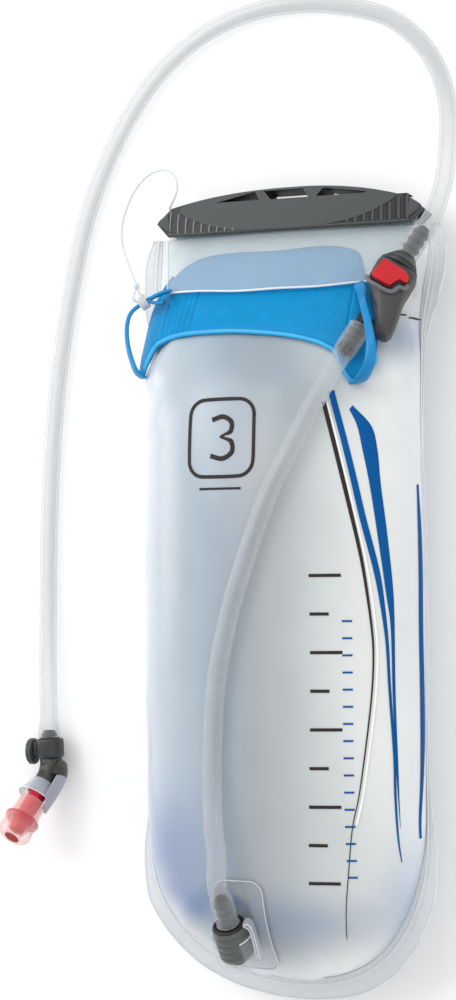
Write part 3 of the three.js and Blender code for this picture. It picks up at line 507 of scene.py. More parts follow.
def hose(name, route, before, after, barbs_before, barbs_after, replaced, sides=28):
    """The hose on its route, pulled on over the barb at each end, where it is stretched."""
    middle = smoothed(route, 260)
    path = np.array(list(before) + list(middle) + list(after))
    path = smoothed(path[::2] if len(path) % 2 else np.vstack([path[::2], path[-1:]]), 420)
    run = np.concatenate([[0], np.cumsum(np.linalg.norm(np.diff(path, axis=0), axis=1))])
    total = run[-1]
    outer = np.full(len(path), HOSE_OD / 2)
    inner = np.full(len(path), HOSE_BORE / 2)
    for length, count, from_start in ((barbs_before, 4, True), (barbs_after, 4, False)):
        if not length:
            continue
        s = run if from_start else total - run
        stretch = np.clip((length + 3 - s) / 5, 0, 1)
        stretch = stretch * stretch * (3 - 2 * stretch)
        ripple = 0.5 + 0.5 * np.cos(2 * pi * s * count / length)
        outer += stretch * (0.75 + 0.3 * ripple)
        inner += stretch * (1.15 + 0.3 * ripple)
    made = piece(name, *hollow_tube(path, outer, inner, sides), HOSE, rides=False)
    made.data.materials.append(BORE)
    faces_outside = (len(path) - 1) * sides
    for i, polygon in enumerate(made.data.polygons):
        if faces_outside <= i < 2 * faces_outside:
            polygon.material_index = 1
    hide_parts(replaced)
    return made, path


lower_hose, lower_path = hose(
    "lower_hose_tube", LOWER_ROUTE, [on_port(z) for z in (20, 24, 28, 32)],
    [on_coupling(z) for z in (4, 8, 12, 15)], 16, 15, "lower_hose")
upper_hose, upper_path = hose(
    "upper_hose_tube", UPPER_ROUTE, [on_coupling(z) for z in (59.6, 64, 69, 74)],
    [V(-144, -70, 10.4) + hose_axis * z for z in (4, 7.4)], 19, 7, "upper_hose")
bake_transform(lower_hose)
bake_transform(upper_hose)
tether_path = smoothed(TETHER_ROUTE, 150)
tether = piece("tether_cord", *tube(tether_path, 0.62, 10), CORD, rides=False)
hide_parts("tether")
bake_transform(tether)


# ---- bag film
def pocket(p):
    """Presses the film in round the outlet's cup, which stands in a recess."""
    d = p - PORT_PLUG_END
    z = float(np.dot(d, port_axis))
    x_axis = unit(V(0, 0, 1) - port_axis * port_axis[2])
    y_axis = np.cross(port_axis, x_axis)
    x, y = float(np.dot(d, x_axis)), float(np.dot(d, y_axis))
    reach = 12.2
    if z < -7 or z > 40 or abs(y) > reach + 4:
        return p
    weight = (1 - smooth(abs(y), reach - 1, reach + 4)) * smooth(z, -7, -3)
    floor = -sqrt(max(0, reach ** 2 - min(abs(y), reach) ** 2))
    if x > floor:
        p = p - x_axis * (x - floor) * weight
    return p


# the film's colour across its width, from the left seam (-1) to the right one (1): its own milky tone with painted
# shade, darkest just left of the middle, and painted highlight towards both seams
FILM_COLOUR_AND_PAINTED_SHADE = [(-1.0, (220, 225, 231)), (-0.93, (214, 220, 227)), (-0.8, (190, 197, 205)), (-0.65, (169, 181, 190)),
         (-0.45, (160, 174, 185)), (-0.25, (150, 162, 173)), (0.0, (162, 167, 171)), (0.2, (173, 180, 182)),
         (0.4, (194, 199, 200)), (0.6, (213, 216, 216)), (0.75, (221, 224, 221)), (0.88, (228, 231, 230)),
         (1.0, (224, 228, 233))]
PAINTED_SHADE_AND_LIGHT_PATCHES = [  # place, reach, colour and strength of each patch of painted shade, mostly blue, and of painted highlight on the film
    (-52, -128, 24, 28, (130, 145, 180), 0.8), (-60, -60, 14, 40, (172, 184, 200), 0.4),
    (-40, -154, 14, 9, (104, 126, 182), 0.6), (-58, -168, 18, 12, (204, 207, 211), 0.7),
    (-26, -176, 20, 8, (196, 202, 210), 0.5), (12, -160, 36, 13, (128, 146, 170), 0.65),
    (-6, -163, 3.2, 6, (70, 120, 184), 0.7), (-14, -152, 5, 2.2, (84, 108, 170), 0.5),
    (66, -158, 14, 30, (158, 176, 204), 0.6), (62, 124, 14, 12, (150, 166, 188), 0.7),
    (-34, 92, 13, 22, (186, 195, 204), 0.5), (4, 108, 32, 24, (134, 150, 162), 0.75),
    (-12, 20, 10, 60, (152, 162, 174), 0.3), (36, -120, 26, 40, (180, 185, 188), 0.35)]


# the front film's colour at a point, with painted shade and painted highlight: the tones across the width, lighter
# towards the neck and the bottom weld, and the patches of painted shade and highlight
def painted_shade_tint(x, y):
    u = x / max(1, half_width(y))
    us = [t[0] for t in FILM_COLOUR_AND_PAINTED_SHADE]
    c = V(*[np.interp(u, us, [t[1][k] for t in FILM_COLOUR_AND_PAINTED_SHADE]) for k in range(3)])
    top = smooth(y, 128, 165)
    c = c * (1 - top) + V(226, 228, 229) * top
    bottom = 1 - smooth(y, -192, -172)
    c = c * (1 - 0.7 * bottom) + V(228, 232, 237) * 0.7 * bottom
    for cx, cy, rx, ry, color, strength in PAINTED_SHADE_AND_LIGHT_PATCHES:
        w = strength * exp(-((x - cx) / rx) ** 2 - ((y - cy) / ry) ** 2)
        c = c * (1 - w) + V(*color) * w
    c *= 1 + 0.03 * noise.noise(Vector((x * 0.03, y * 0.012, 7.7)))
    return c


def panel(name, height, shift, rows, columns, replaced, back_side=False):
    ys = [END_START - 90 * sin(radians(a)) for a in np.linspace(89.2, 4, 40)]
    ys += list(np.linspace(END_START, BAG_NECK, rows))
    points, colors = [], []
    for y in ys:
        for a in np.linspace(0, pi, columns):
            x = -half_width(y) * cos(a)
            z = height(x, y) + shift
            if back_side:
                points.append(V(x, y, z))
                colors.append(V(212, 219, 227))
            else:
                p = V(x, y, z) + creases(x, y) * front_normal(x, min(y, 180)) * min(1, sin(a) * 4)
                points.append(pocket(p))
                colors.append(painted_shade_tint(x, y))
    faces = grid_faces(len(ys), columns)
    if back_side:
        faces = flipped(faces)
    made = piece(name, points, faces, BAG, "bag", replaced, smooth=0)
    # the colour layer: on the front film it holds painted shade and painted highlight
    layer = made.data.color_attributes.new("painted_shade_tint", "FLOAT_COLOR", "POINT")
    linear = [component for c in colors for component in srgb(*np.clip(c, 0, 255))]
    layer.data.foreach_set("color", linear)
    return made


panel("bag_front_film", front_z, GAP / 2, 170, 121, ("front_panel",))
panel("bag_back_film", back_z, -GAP / 2, 70, 61, ("back_panel",), back_side=True)

# ---- weld border
border_width = along([-209, -170, -140, -120, -100, 112, 128, 150, 176, BAG_NECK],
                     [13, 11, 9, 6, 2.6, 2.6, 5, 8.5, 8, 5])
border_fold = along([-150, -126, -100, 110, 128, 142], [0, 0.45, 1, 1, 0.6, 0])


def border_point(side, y, reach):
    d = 0.25
    low = max(BAG_BOTTOM, y - d)
    slope = (half_width(y + d) - half_width(low)) / (y + d - low)
    out_x = 1 / hypot(1, slope)
    out_y = -slope * out_x
    fold = min(1, max(0, border_fold(y)))
    flat = GAP + reach * (1 - 0.7 * fold)
    return V(side * (half_width(y) + out_x * flat), y + out_y * flat, seam_z(y + out_y * flat) - 0.85 * fold * reach)


def border():
    ys = list(np.linspace(BAG_NECK, -95, 90)) + [
        END_START - 90 * sin(radians(a)) for a in np.linspace(2, 88.6, 56)]
    shares = np.linspace(0, 1, 22)
    rows = []
    for side, order in ((-1, ys), (1, list(reversed(ys)))):
        for y in order:
            width = border_width(y)
            row = []
            for s in shares:
                p = border_point(side, y, width * s)
                ridge = 0.4 * exp(-((s - 0.28) / 0.05) ** 2) + 0.3 * exp(-((s - 0.52) / 0.05) ** 2)
                wave = 0.9 * s * noise.noise(Vector((p[0] * 0.06, p[1] * 0.06, 1.3)))
                p[2] = max(0.7, p[2] + ridge + wave)
                row.append(p)
            rows.append(row)
    points = [p for row in rows for p in row]
    made = piece("weld_border", points, grid_faces(len(rows), len(shares)), BORDER, "bag", ("seam_flange",))
    solidify(made, 0.9, 0)
    rim = np.array([row[-1] for row in rows])
    piece("weld_border_edge", *tube(smoothed(rim[::4], 300), 0.5, 8), EDGE)
    inner = np.array([row[6] + V(0, 0, 0.35) for row in rows])
    piece("weld_line", *tube(smoothed(inner[::4], 300), 0.4, 8), EDGE)


border()

# ---- neck, fold and flap
NECK_HALF, NECK_LOW_Z, FOLD_RADIUS, FOLD_Y, FLAP_EDGE_Y = 66, 20.2, 2.9, 193.3, 147.4
YOKE_LIFT, YOKE_THICK, YOKE_STANDS_OFF = 0.6, 2.2, 2
FLAP_LIFT = YOKE_LIFT + YOKE_THICK + GAP + 1.6


def neck():
    columns = np.linspace(-1, 1, 67)
    centre = NECK_LOW_Z + FOLD_RADIUS
    inside = [(BAG_NECK - 0.5, NECK_LOW_Z + 0.7), (189, NECK_LOW_Z + 0.7)]
    for a in np.linspace(-90, 90, 13):
        r = FOLD_RADIUS - 0.7
        inside.append((FOLD_Y + r * cos(radians(a)), centre + r * sin(radians(a))))
    inside += [(189, centre + FOLD_RADIUS - 0.7), (184.5, 25.2)]
    rows = [[V(NECK_HALF * u, y, z) for u in columns] for y, z in inside]
    flap_ys = list(np.linspace(181, FLAP_EDGE_Y, 26))
    for y in flap_ys:
        half = NECK_HALF - 6.5 * smooth(BAG_NECK - y, 0, BAG_NECK - FLAP_EDGE_Y)
        row = []
        for u in columns:
            bow = 3.5 * u * u * smooth(BAG_NECK - y, 10, BAG_NECK - FLAP_EDGE_Y)
            ripple = 0.35 * sin(u * 9 + y * 0.05) * smooth(BAG_NECK - y, 4, 24)
            row.append(on_front(half * u, y + bow, FLAP_LIFT + 0.6 + ripple))
        rows.append(row)
    points = [p for row in rows for p in row]
    made = piece("neck_flap_film", points, grid_faces(len(rows), len(columns)), FILM, "bag", ("neck_fold",))
    solidify(made, 0.5, 0)
    piece("flap_edge", *tube(smoothed(np.array(rows[-1])[::3], 90), 0.55, 8), EDGE)
    for name, j in (("flap_side_left", 0), ("flap_side_right", -1)):
        side = np.array([row[j] for row in rows[-26:]])
        piece(name, *tube(smoothed(side[::3], 40), 0.35, 8), EDGE)


neck()

# ---- yoke and its loops
yoke_lower = along([-69.5, -68, -65.5, -62, -57, -48, -30, -10, 19, 32, 37, 41, 45.5, 49.5, 54.5],
                   [109.5, 108.3, 114.5, 122.5, 125.3, 127.3, 127.8, 126.9, 122.5, 117.8, 114, 105.5, 100.2, 102.5,
                    110])
yoke_upper = along([-69.5, -68, -66, -63.5, -59, -52, -46, -6, 34, 40, 44, 49, 54.5],
                   [122, 136, 147, 155, 163, 168.5, 171, 172, 171, 167, 158, 146, 124])


def yoke_lift(x):
    return YOKE_LIFT + YOKE_STANDS_OFF * smooth(-x, 60, 69.5)


def yoke_groove(x, y):
    """Depth of the ribs that are pressed in on the left, and of the slanting ones on the right."""
    depth = 0
    for k in range(6):
        line = -57.6 + 3.3 * k + 0.06 * (y - 140)
        depth += 1.6 * exp(-((x - line) / 0.5) ** 2) * smooth(y, 126, 130) * (1 - smooth(y, 143 + 1.6 * k, 148 + k))
    for k in range(8):
        line = 4 + 4.4 * k + 0.55 * (y - 128)
        inside = smooth(y, 124, 128) * (1 - smooth(y, 146, 150)) * smooth(x, 6, 10) * (1 - smooth(x, 35, 38))
        depth += 0.9 * exp(-((x - line) / 0.45) ** 2) * inside
    depth += 0.9 * exp(-((x - 40.5) / 0.6) ** 2) * smooth(y, 118, 126)
    return min(1.6, depth) * 0.45


def yoke():
    xs = np.concatenate([np.linspace(-69.5, -58, 60), np.linspace(-57.6, 36, 230), np.linspace(36.4, 54.5, 60)])
    shares = np.linspace(0, 1, 36)
    points = []
    for s in shares:
        for x in xs:
            y = yoke_upper(x) + (yoke_lower(x) - yoke_upper(x)) * s
            soft = min(1, min(s, 1 - s) * 9 + 0.35)
            points.append(on_front(x, y, yoke_lift(x) + YOKE_THICK * soft - yoke_groove(x, y)))
    faces = flipped(grid_faces(len(shares), len(xs)))
    made = piece("yoke_sheet", points, faces, BLUE, "bag", ("yoke",), smooth=0)
    solidify(made, 1.2, -1)
    bead = [on_front(x, yoke_lower(x) + 0.9, yoke_lift(x) + 1.7) for x in xs[::3]] + [
        on_front(54.3, 114, yoke_lift(54.3) + 1.6)]
    piece("yoke_bead", *tube(smoothed(bead, 260), 1.1, 12), CYAN)
    margin = [on_front(-69.4, y, yoke_lift(-69.5) + 1.5) for y in np.linspace(109.5, 122, 8)]
    margin += [on_front(x, yoke_upper(x), yoke_lift(x) + 1.5) for x in np.linspace(-69.4, -60, 16)]
    piece("yoke_margin", *tube(smoothed(margin, 60), 0.9, 10), BLUE)


def loop(name, path, first, last, widths, replaced, thick=2.2):
    steps = 70
    curve = smoothed(path, steps)
    points, sides = [], 18
    ahead = np.gradient(curve, axis=0)
    for i, p in enumerate(curve):
        t = unit(ahead[i])
        share = i / steps
        wide = unit((1 - share) * first + share * last)
        wide = unit(wide - t * np.dot(wide, t))
        out = np.cross(t, wide)
        width = np.interp(share * (len(widths) - 1), range(len(widths)), widths)
        for k in range(sides):
            a = 2 * pi * k / sides
            c, s = cos(a), sin(a)
            points.append(p + wide * 0.5 * width * copysign(abs(c) ** 0.7, c)
                          + out * 0.5 * thick * copysign(abs(s) ** 0.7, s))
    faces = grid_faces(len(curve), sides, wrap=True)
    faces += caps(steps + 1, sides)
    piece(name, points, faces, STRAP, "bag", (replaced,) if replaced else ())


LEFT_LOOP = [V(-63, 152.7, 47), V(-71.5, 148.3, 49), V(-77.9, 143, 51), V(-79.2, 137.1, 53), V(-78, 127.9, 56),
             V(-75.3, 118.6, 57.5), V(-72.4, 112, 57.5)]
RIGHT_LOOP = [V(46.5, 147.2, 57), V(51.2, 139.4, 69.6), V(56, 127.6, 77.5), V(58.2, 117.8, 81.4), V(57.6, 109.5, 81.6),
              V(53.8, 104.4, 77.5), V(50.6, 101.9, 74)]
yoke()
# in the looks the ends of each loop run on into the yoke, with which they are moulded
loop("hand_loop_left", [V(-58, 154, 46)] + LEFT_LOOP + [V(-70.2, 109.4, 54.5)], V(0.5, 0, 1), V(0.7, 0.1, 1),
     [7, 6.4, 4.2, 3.6, 3.4, 3.8, 4.8, 6, 7.2], "yoke_loop_left")
loop("hand_loop_right", [V(44, 151, 53)] + RIGHT_LOOP + [V(47.2, 101.2, 70.6)], V(1, 0.4, 0.1), V(1, 0.2, -0.3),
     [6, 5, 4, 3.8, 4, 4.6, 5.4, 6.5, 8], "yoke_loop_right")
# the small eyelet that the cord is tied through
eyelet = [V(-60.5, 147.5, 49), V(-64.5, 147.6, 49.5), V(-69.2, 149, 49.6), V(-70.6, 150.2, 49.2)]
loop("eyelet_web", eyelet, V(0.5, 0, 1), V(0.5, 0, 1), [4.5, 3.2, 2.6, 2.4], None, 1.8)


# ---- slide bar
def plate(name, outlines, low, high, finish, edge):
    """A bevelled plate with holes: the first outline is the edge, the rest are holes."""
    curve = bpy.data.curves.new(name, "CURVE")
    curve.dimensions = "2D"
    curve.fill_mode = "BOTH"
    curve.extrude = 0.5 * (high - low) * MM
    for outline in outlines:
        spline = curve.splines.new("POLY")
        spline.points.add(len(outline) - 1)
        spline.points.foreach_set("co", [c for x, y in outline for c in (x * MM, y * MM, 0, 1)])
        spline.use_cyclic_u = True
    holder = linked(name + "_curve", curve)
    bpy.context.view_layer.update()
    mesh = bpy.data.meshes.new_from_object(holder.evaluated_get(bpy.context.evaluated_depsgraph_get()))
    bpy.data.objects.remove(holder)
    mesh.transform(Matrix.Translation((0, 0, 0.5 * (low + high) * MM)))
    mesh.materials.clear()
    made = dressed(name, mesh, finish, "bar", smooth=40)
    bevel(made, edge, 2, 50)
    return made


def quadratic(a, control, b, steps):
    return [tuple((1 - t) ** 2 * V(*a) + 2 * t * (1 - t) * V(*control) + t * t * V(*b))
            for t in np.linspace(0, 1, steps, endpoint=False)]


BAR_TOP = (quadratic((63, 197), (36, 205.8), (4, 205.5), 24) + quadratic((4, 205.5), (-34, 205.8), (-63, 198.5), 30)
           + [(-63, 198.5)])
BAR_OUTLINE = [(-65, 184), (65, 184), (71, 190)] + BAR_TOP + [(-71, 191)]
WINDOWS = [
    [(-38, 200), (-16.8, 204.3), (-14.6, 199.9)],
    [(-12.1, 204.3), (8.9, 204.3), (11.5, 199.9), (-8.6, 199.9)],
    [(15.8, 199.9), (19.5, 204), (42.4, 200.6), (40.8, 199.9)]]


def bar():
    front = plate("bar_front", [BAR_OUTLINE] + WINDOWS, 28.8, 31.4, GRIP, 0.5)
    plate("bar_back", [BAR_OUTLINE] + WINDOWS, 11.6, 17.6, GRIP, 0.7)
    web = [(-64, 199.2), (64, 198.8)] + [(x, y - 0.3) for x, y in BAR_TOP[2:-3]]
    plate("bar_web", [[(x * 0.985, y) for x, y in web]] + WINDOWS, 17.2, 29.2, DARK, 0.3)
    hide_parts("slide_bar")
    # a raised lens in the middle between the two grips, and its rim
    lower = quadratic((58, 197.3), (42, 186.3), (14, 185), 20) + quadratic((14, 185), (-10, 184.7), (-30, 185.6), 14)
    lower += quadratic((-30, 185.6), (-48, 188.5), (-60, 197.6), 20)
    upper = [(x, y - 0.35) for x, y in BAR_TOP[2:-3] if -57 < x < 57]
    plate("bar_lens", [lower + list(reversed(upper))] + WINDOWS, 30.6, 32.0, GREY, 0.45)
    for k in range(9):  # left grip: thin raised ribs
        x = -63.5 + 4.3 * k
        height = 11.2 * (1 - k / 9.5) ** 1.35 + 0.6
        route = [V(x - 0.3, 185.2, 31.5), V(x, 185.2 + height * 0.5, 31.75), V(x + 0.5, 185.2 + height, 31.5)]
        piece(f"grip_rib_left_{k}", *tube(smoothed(route, 10), 0.42, 8), RIB, "bar")
    for k in range(8):  # right grip: dark slots between thicker ribs
        x = 61.5 - 4.5 * k
        height = 11.5 * (1 - k / 8.6) ** 1.3 + 0.8
        slot = slab([(x - 0.75, 185.4), (x + 0.75, 185.4), (x + 0.75, 185.4 + height), (x - 0.75, 185.6 + height)],
                    31.2, 31.62, lambda p: p)
        piece(f"grip_slot_{k}", *slot, BLACK, "bar")
        ridge = slab([(x + 1.3, 185.2), (x + 2.9, 185.2), (x + 2.9, 186 + height), (x + 1.3, 185.6 + height)],
                     31.2, 32.1, lambda p: p)
        bevel(piece(f"grip_rib_right_{k}", *ridge, GREY, "bar"), 0.4)
    # rounded end blocks close the slot's two ends in part
    for side in (-1, 1):
        block = [(side * 63, 185), (side * 70.6, 190.6), (side * 70.2, 192.4), (side * 64.5, 196.4)]
        if side < 0:
            block.reverse()
        bevel(piece(f"bar_end_{'right' if side > 0 else 'left'}", *slab(block, 28.4, 32.2, lambda p: p),
                    GREY, "bar"), 0.9, 3)
    lip = [V(x, 184.9, 31.0) for x in np.linspace(-64.5, 64.5, 30)]
    piece("bar_lip", *tube(np.array(lip), 0.9, 10), GREY, "bar")


bar()


# ---- tether wrap, the cord's ends and a bead
def wrap():
    centre, ahead = LEFT_LOOP[1], unit(LEFT_LOOP[2] - LEFT_LOOP[0])
    place = placer(centre, ahead, V(0, 0, 1))
    turns, steps = 4, 120
    path = []
    for i in range(steps + 1):
        a = 2 * pi * turns * i / steps
        path.append(place(polar(3.3, a, -2.2 + 4.4 * i / steps)))
    made = piece("tether_wrap", *tube(np.array(path), 0.55, 8), CORD, "bag", ("tether_knot",))
    ends = [smoothed([place(V(3.3, 0, 1.6)), place(V(4.6, 2.6, 3)), TETHER_ROUTE[-1]], 24),
            smoothed([place(V(-2.6, 2, 2.2)), place(V(-1, 4.6, 4)), TETHER_ROUTE[-1] + V(0.8, 1.6, 0.4)], 24),
            smoothed([place(V(0, 3.2, -1.6)), place(V(1.5, 5.2, -0.5)), TETHER_ROUTE[-1] + V(1.6, 0.2, 1)], 24)]
    for k, strand in enumerate(ends):
        piece(f"tether_strand_{k}", *tube(strand, 0.5, 8), CORD)
    bead = lathe([(0, -1.6), (1.3, -1.1), (1.6, 0), (1.3, 1.1), (0, 1.6)],
                 placer(TETHER_ROUTE[-1], V(-0.5, 0.6, -0.6), V(0, 0, 1)), 20)
    piece("tether_bead", *bead, CORD)
    return made


tether_wrap = wrap()


# ---- barbs
BARB_TIP, BARB_RIB, BARB_CORE = 3.0, 4.35, 2.3


def barb_profile(low, length, tip, rib, count, core):
    """Steps that widen away from low, where the hose's end is."""
    pitch = length / count
    profile = [(core, low)]
    for k in range(count):
        z = low + pitch * k
        profile += [(rib, z + 0.06 * pitch), (rib, z + 0.3 * pitch), (tip, z + 0.92 * pitch), (tip, z + 0.99 * pitch)]
    return profile + [(core, low + length)]


def barb(name, place, low, length, count, body, replaced, reverse=False):
    profile = barb_profile(low, length, BARB_TIP, BARB_RIB, count, BARB_CORE)
    if reverse:
        profile = [(r, 2 * low + length - z) for r, z in reversed(profile)]
    profile = profile + [profile[0]]
    piece(name, *lathe(profile, place, 40), BARB, body, (replaced,))


barb("outlet_barb", port, 16.3, 19, 4, "port_plug", "port_barb")
barb("coupling_barb_upper", coupling, 59.3, 18.7, 4, "plug_half", "upper_barb")
barb("coupling_barb_lower", coupling, 0, 21, 5, "bag", "lower_barb", reverse=True)
barb("elbow_barb_ribs", hose_end, 3.4, 3.6, 1, "valve", "elbow_barb", reverse=True)
ring = lathe([(3.2, -0.2), (4.4, 0), (4.6, 0.8), (4.6, 3.2), (4.3, 3.8), (3.2, 3.8), (3.2, -0.2)], coupling, 8)
bevel(piece("coupling_barb_ring", *ring, BARB), 0.25)


# ---- outlet port
def outlet():
    profile = [(0, -2.6), (3.2, -2.6), (3.4, -2.2), (3.4, -0.2), (7, 0), (8, 0.8), (8.4, 2)]
    for z in (3.6, 7.4, 11.2, 15):
        profile += [(8.55, z - 1.4), (8.55, z - 0.5), (8.05, z), (8.05, z + 0.4), (8.55, z + 0.9)]
    profile += [(8.5, 17.8), (8.2, 18.6), (7.6, 18.9), (7.3, 18.3), (5.2, 18.1), (5.0, 16.2), (0, 16.2)]
    piece("plug_collar", *lathe(profile, port, 64), OLIVE, "port_plug", ("hose_plug",), smooth=45)
    top = lathe([(6.0, 18.2), (6.2, 19.4), (7.0, 19.8), (7.9, 19.3), (8.2, 18.5), (7.4, 18.0), (6.0, 18.2)], port, 64)
    piece("plug_top_ring", *top, BLACK, "port_plug", slot="black_rubber")
    # the clear cup, open to the front
    angles = np.radians(np.linspace(38, 322, 60))
    outer = [(8.9, -3.0), (10.4, -2.9), (11, -1.4), (11, 12.4), (10.6, 13), (9.4, 13), (9.1, 12.4), (9.1, 0.2),
             (8.9, -3.0)]
    points = [port(polar(r, a, z)) for a in angles for r, z in outer]
    bottom = lathe([(0, -3.2), (8.6, -3.2), (10.2, -2.9), (10.4, -2.4), (6.4, -2.3), (0, -2.75)], port, 48)
    wall = (points, flipped(grid_faces(len(angles), len(outer))))
    piece("outlet_cup", *merged(wall, bottom), CUP, "bag", ("port_socket",))
    rim = [port(polar(10.2, a, 12.9)) for a in angles]
    piece("outlet_cup_rim", *tube(np.array(rim), 0.35, 8), PLATE_EDGE)
    finger = [(11.6, 1), (13.4, 1), (13.4, 21), (12.2, 23), (9.4, 23), (9.4, 21.8), (11.6, 19.6)]
    made = piece("latch_finger", *slab(finger, 0, 5, lambda p: port(V(p[2], p[0], p[1]))), CLEAR, "latch",
                 ("port_latch",))
    bevel(made, 0.35)
    tip = [port(V(x, y, z)) for x, y, z in ((5.1, 11.8, 2), (5.1, 11.8, 19.6), (5.1, 9.5, 22), (5.1, 12, 22.9),
                                            (5.1, 13.3, 20.8), (5.1, 13.3, 2))]
    piece("latch_finger_edge", *tube(smoothed(tip, 50), 0.25, 8), PLATE_EDGE, "latch")
    # plate welded into the film
    centre = V(-13.6, -163)
    outline = rounded(centre, (12.8, 23.4), 6.5, 9)
    sides = []
    for k, (x, y) in enumerate(outline):  # more points along the straight sides, so that they follow the film
        nx, ny = outline[(k + 1) % len(outline)]
        count = max(1, int(hypot(nx - x, ny - y) / 2.5))
        sides += [(x + (nx - x) * j / count, y + (ny - y) * j / count) for j in range(count)]
    outline = sides
    rings = []
    for share in np.linspace(1, 0.06, 14):
        rings.append([pocket(on_front(centre[0] + (x - centre[0]) * share, centre[1] + (y - centre[1]) * share, 1.5))
                      for x, y in outline])
    n = len(outline)
    points = [p for ring_points in rings for p in ring_points]
    faces = grid_faces(len(rings), n, wrap=True) + caps(len(rings), n)[1:]
    plate_piece = piece("outlet_plate", points, faces, CLEAR, "bag", ("port_flange",), smooth=0)
    solidify(plate_piece, 0.5, -1)
    edge = [on_front(x, y, 1.7) for x, y in outline + outline[:1]]
    piece("outlet_plate_edge", *tube(smoothed(edge, 160), 0.3, 8), PLATE_EDGE)


outlet()


# ---- coupling
BOOT_POWER, BOOT_SIDES = 3.2, 48


def superellipse(half_x, half_y, z, shift):
    fold = lambda v: copysign(abs(v) ** (2 / BOOT_POWER), v)
    turns = [2 * pi * i / BOOT_SIDES for i in range(BOOT_SIDES)]
    return [V(half_x * fold(cos(a)), shift + half_y * fold(sin(a)), z) for a in turns]


def coupling_pieces():
    keys = [(15.6, 3.4, 3.0, 11.1), (16, 4.2, 3.6, 11), (18.5, 5.4, 5, 10.6), (23, 6.4, 6, 9.2), (28.5, 7.4, 7.4, 6.6),
            (34, 8.4, 8.8, 3.8), (39, 9.2, 10.2, 1.6), (43, 9.6, 11, 0.9), (49.8, 9.6, 11, 0.6), (50.6, 9.2, 10.6, 0.6),
            (51, 8.6, 10, 0.6)]
    zs = np.concatenate([np.linspace(15.6, 18.5, 6), np.linspace(19.5, 49.8, 40), [50.3, 50.6, 51]])
    table = np.array(keys)
    rings = []
    for z in zs:
        hx, hy, shift = (np.interp(z, table[:, 0], table[:, k]) for k in (1, 2, 3))
        rings += superellipse(hx, hy, z, shift)
    points = [coupling(p) for p in rings]
    faces = grid_faces(len(zs), BOOT_SIDES, wrap=True) + caps(len(zs), BOOT_SIDES)
    boot = piece("coupling_boot", points, faces, BOOT, "bag", ("coupling_body",), smooth=50)
    modify(boot, "SMOOTH", factor=0.6, iterations=2)
    # dark recess, the button in it, and the hook of the catch below
    facing = lambda p: coupling(V(p[2], p[0], p[1]))
    z0 = 40
    recess = [(-8.7, -1.6), (-7.2, -3.3), (-5.4, -3.7), (2.8, -3.7), (3.9, -3), (4.6, -0.7), (5.7, 1.7), (8.9, 1.6),
              (10.1, 3.1), (9.8, 5.5), (6.7, 7.8), (5.7, 8.2), (-6, 9), (-7.3, 8.2), (-7.4, 4.8)]
    bevel(piece("button_recess", *slab([(u, z0 + v) for u, v in recess], 7.0, 9.75, facing), BLACK), 0.3)
    button = [(-7.9, -1.4), (-6.8, -2.7), (-5.4, -3.1), (2.6, -3.1), (3.4, -2.5), (4.1, -0.3), (5.4, 2.3), (8.6, 2.2),
              (9.5, 3.2), (9.2, 5.2), (6.4, 7.1), (5.5, 7.6), (-5.8, 8.4), (-6.7, 7.8), (-6.8, 4.6)]
    made = piece("red_button", *slab([(u, z0 + v) for u, v in button], 8.3, 11.9, facing), RED, "button",
                 ("release_button",))
    bevel(made, 0.8, 4, 30)
    hook = [facing(V(u, z0 + v, w)) for u, v, w in (
        (10.2, 2.6, 9.2), (10, 0.4, 9.2), (8.6, -0.2, 9.5), (7.2, -0.6, 9.6), (6.4, -2.4, 9.6), (5.2, -4.6, 9.5),
        (2.6, -5.3, 9.4), (-3, -5.2, 9.3), (-7, -4.8, 8.8), (-9.4, -3.0, 8.2))]
    piece("catch_hook", *tube(smoothed(hook, 90), 1.1, 12), HOOK)
    profile = [(0, 44.8), (2.9, 44.8), (2.9, 51.3), (8.6, 51.3), (9.9, 51.5), (10.3, 52.2), (10.2, 53.1), (9.2, 53.4),
               (8.9, 53.9), (9.2, 54.4), (8.8, 55.2), (7.8, 56.6), (6.8, 58), (6, 58.8), (5.4, 59), (0, 59)]
    piece("coupling_collar", *lathe(profile, coupling, 64), DARK, "plug_half", ("coupling_plug",), 40)
    groove = lathe([(9.2, 50.9), (9.4, 51.0), (9.5, 51.3), (9.2, 51.5), (8.8, 51.3), (9.2, 50.9)], coupling, 48)
    piece("coupling_gap_ring", *groove, BLACK)


coupling_pieces()


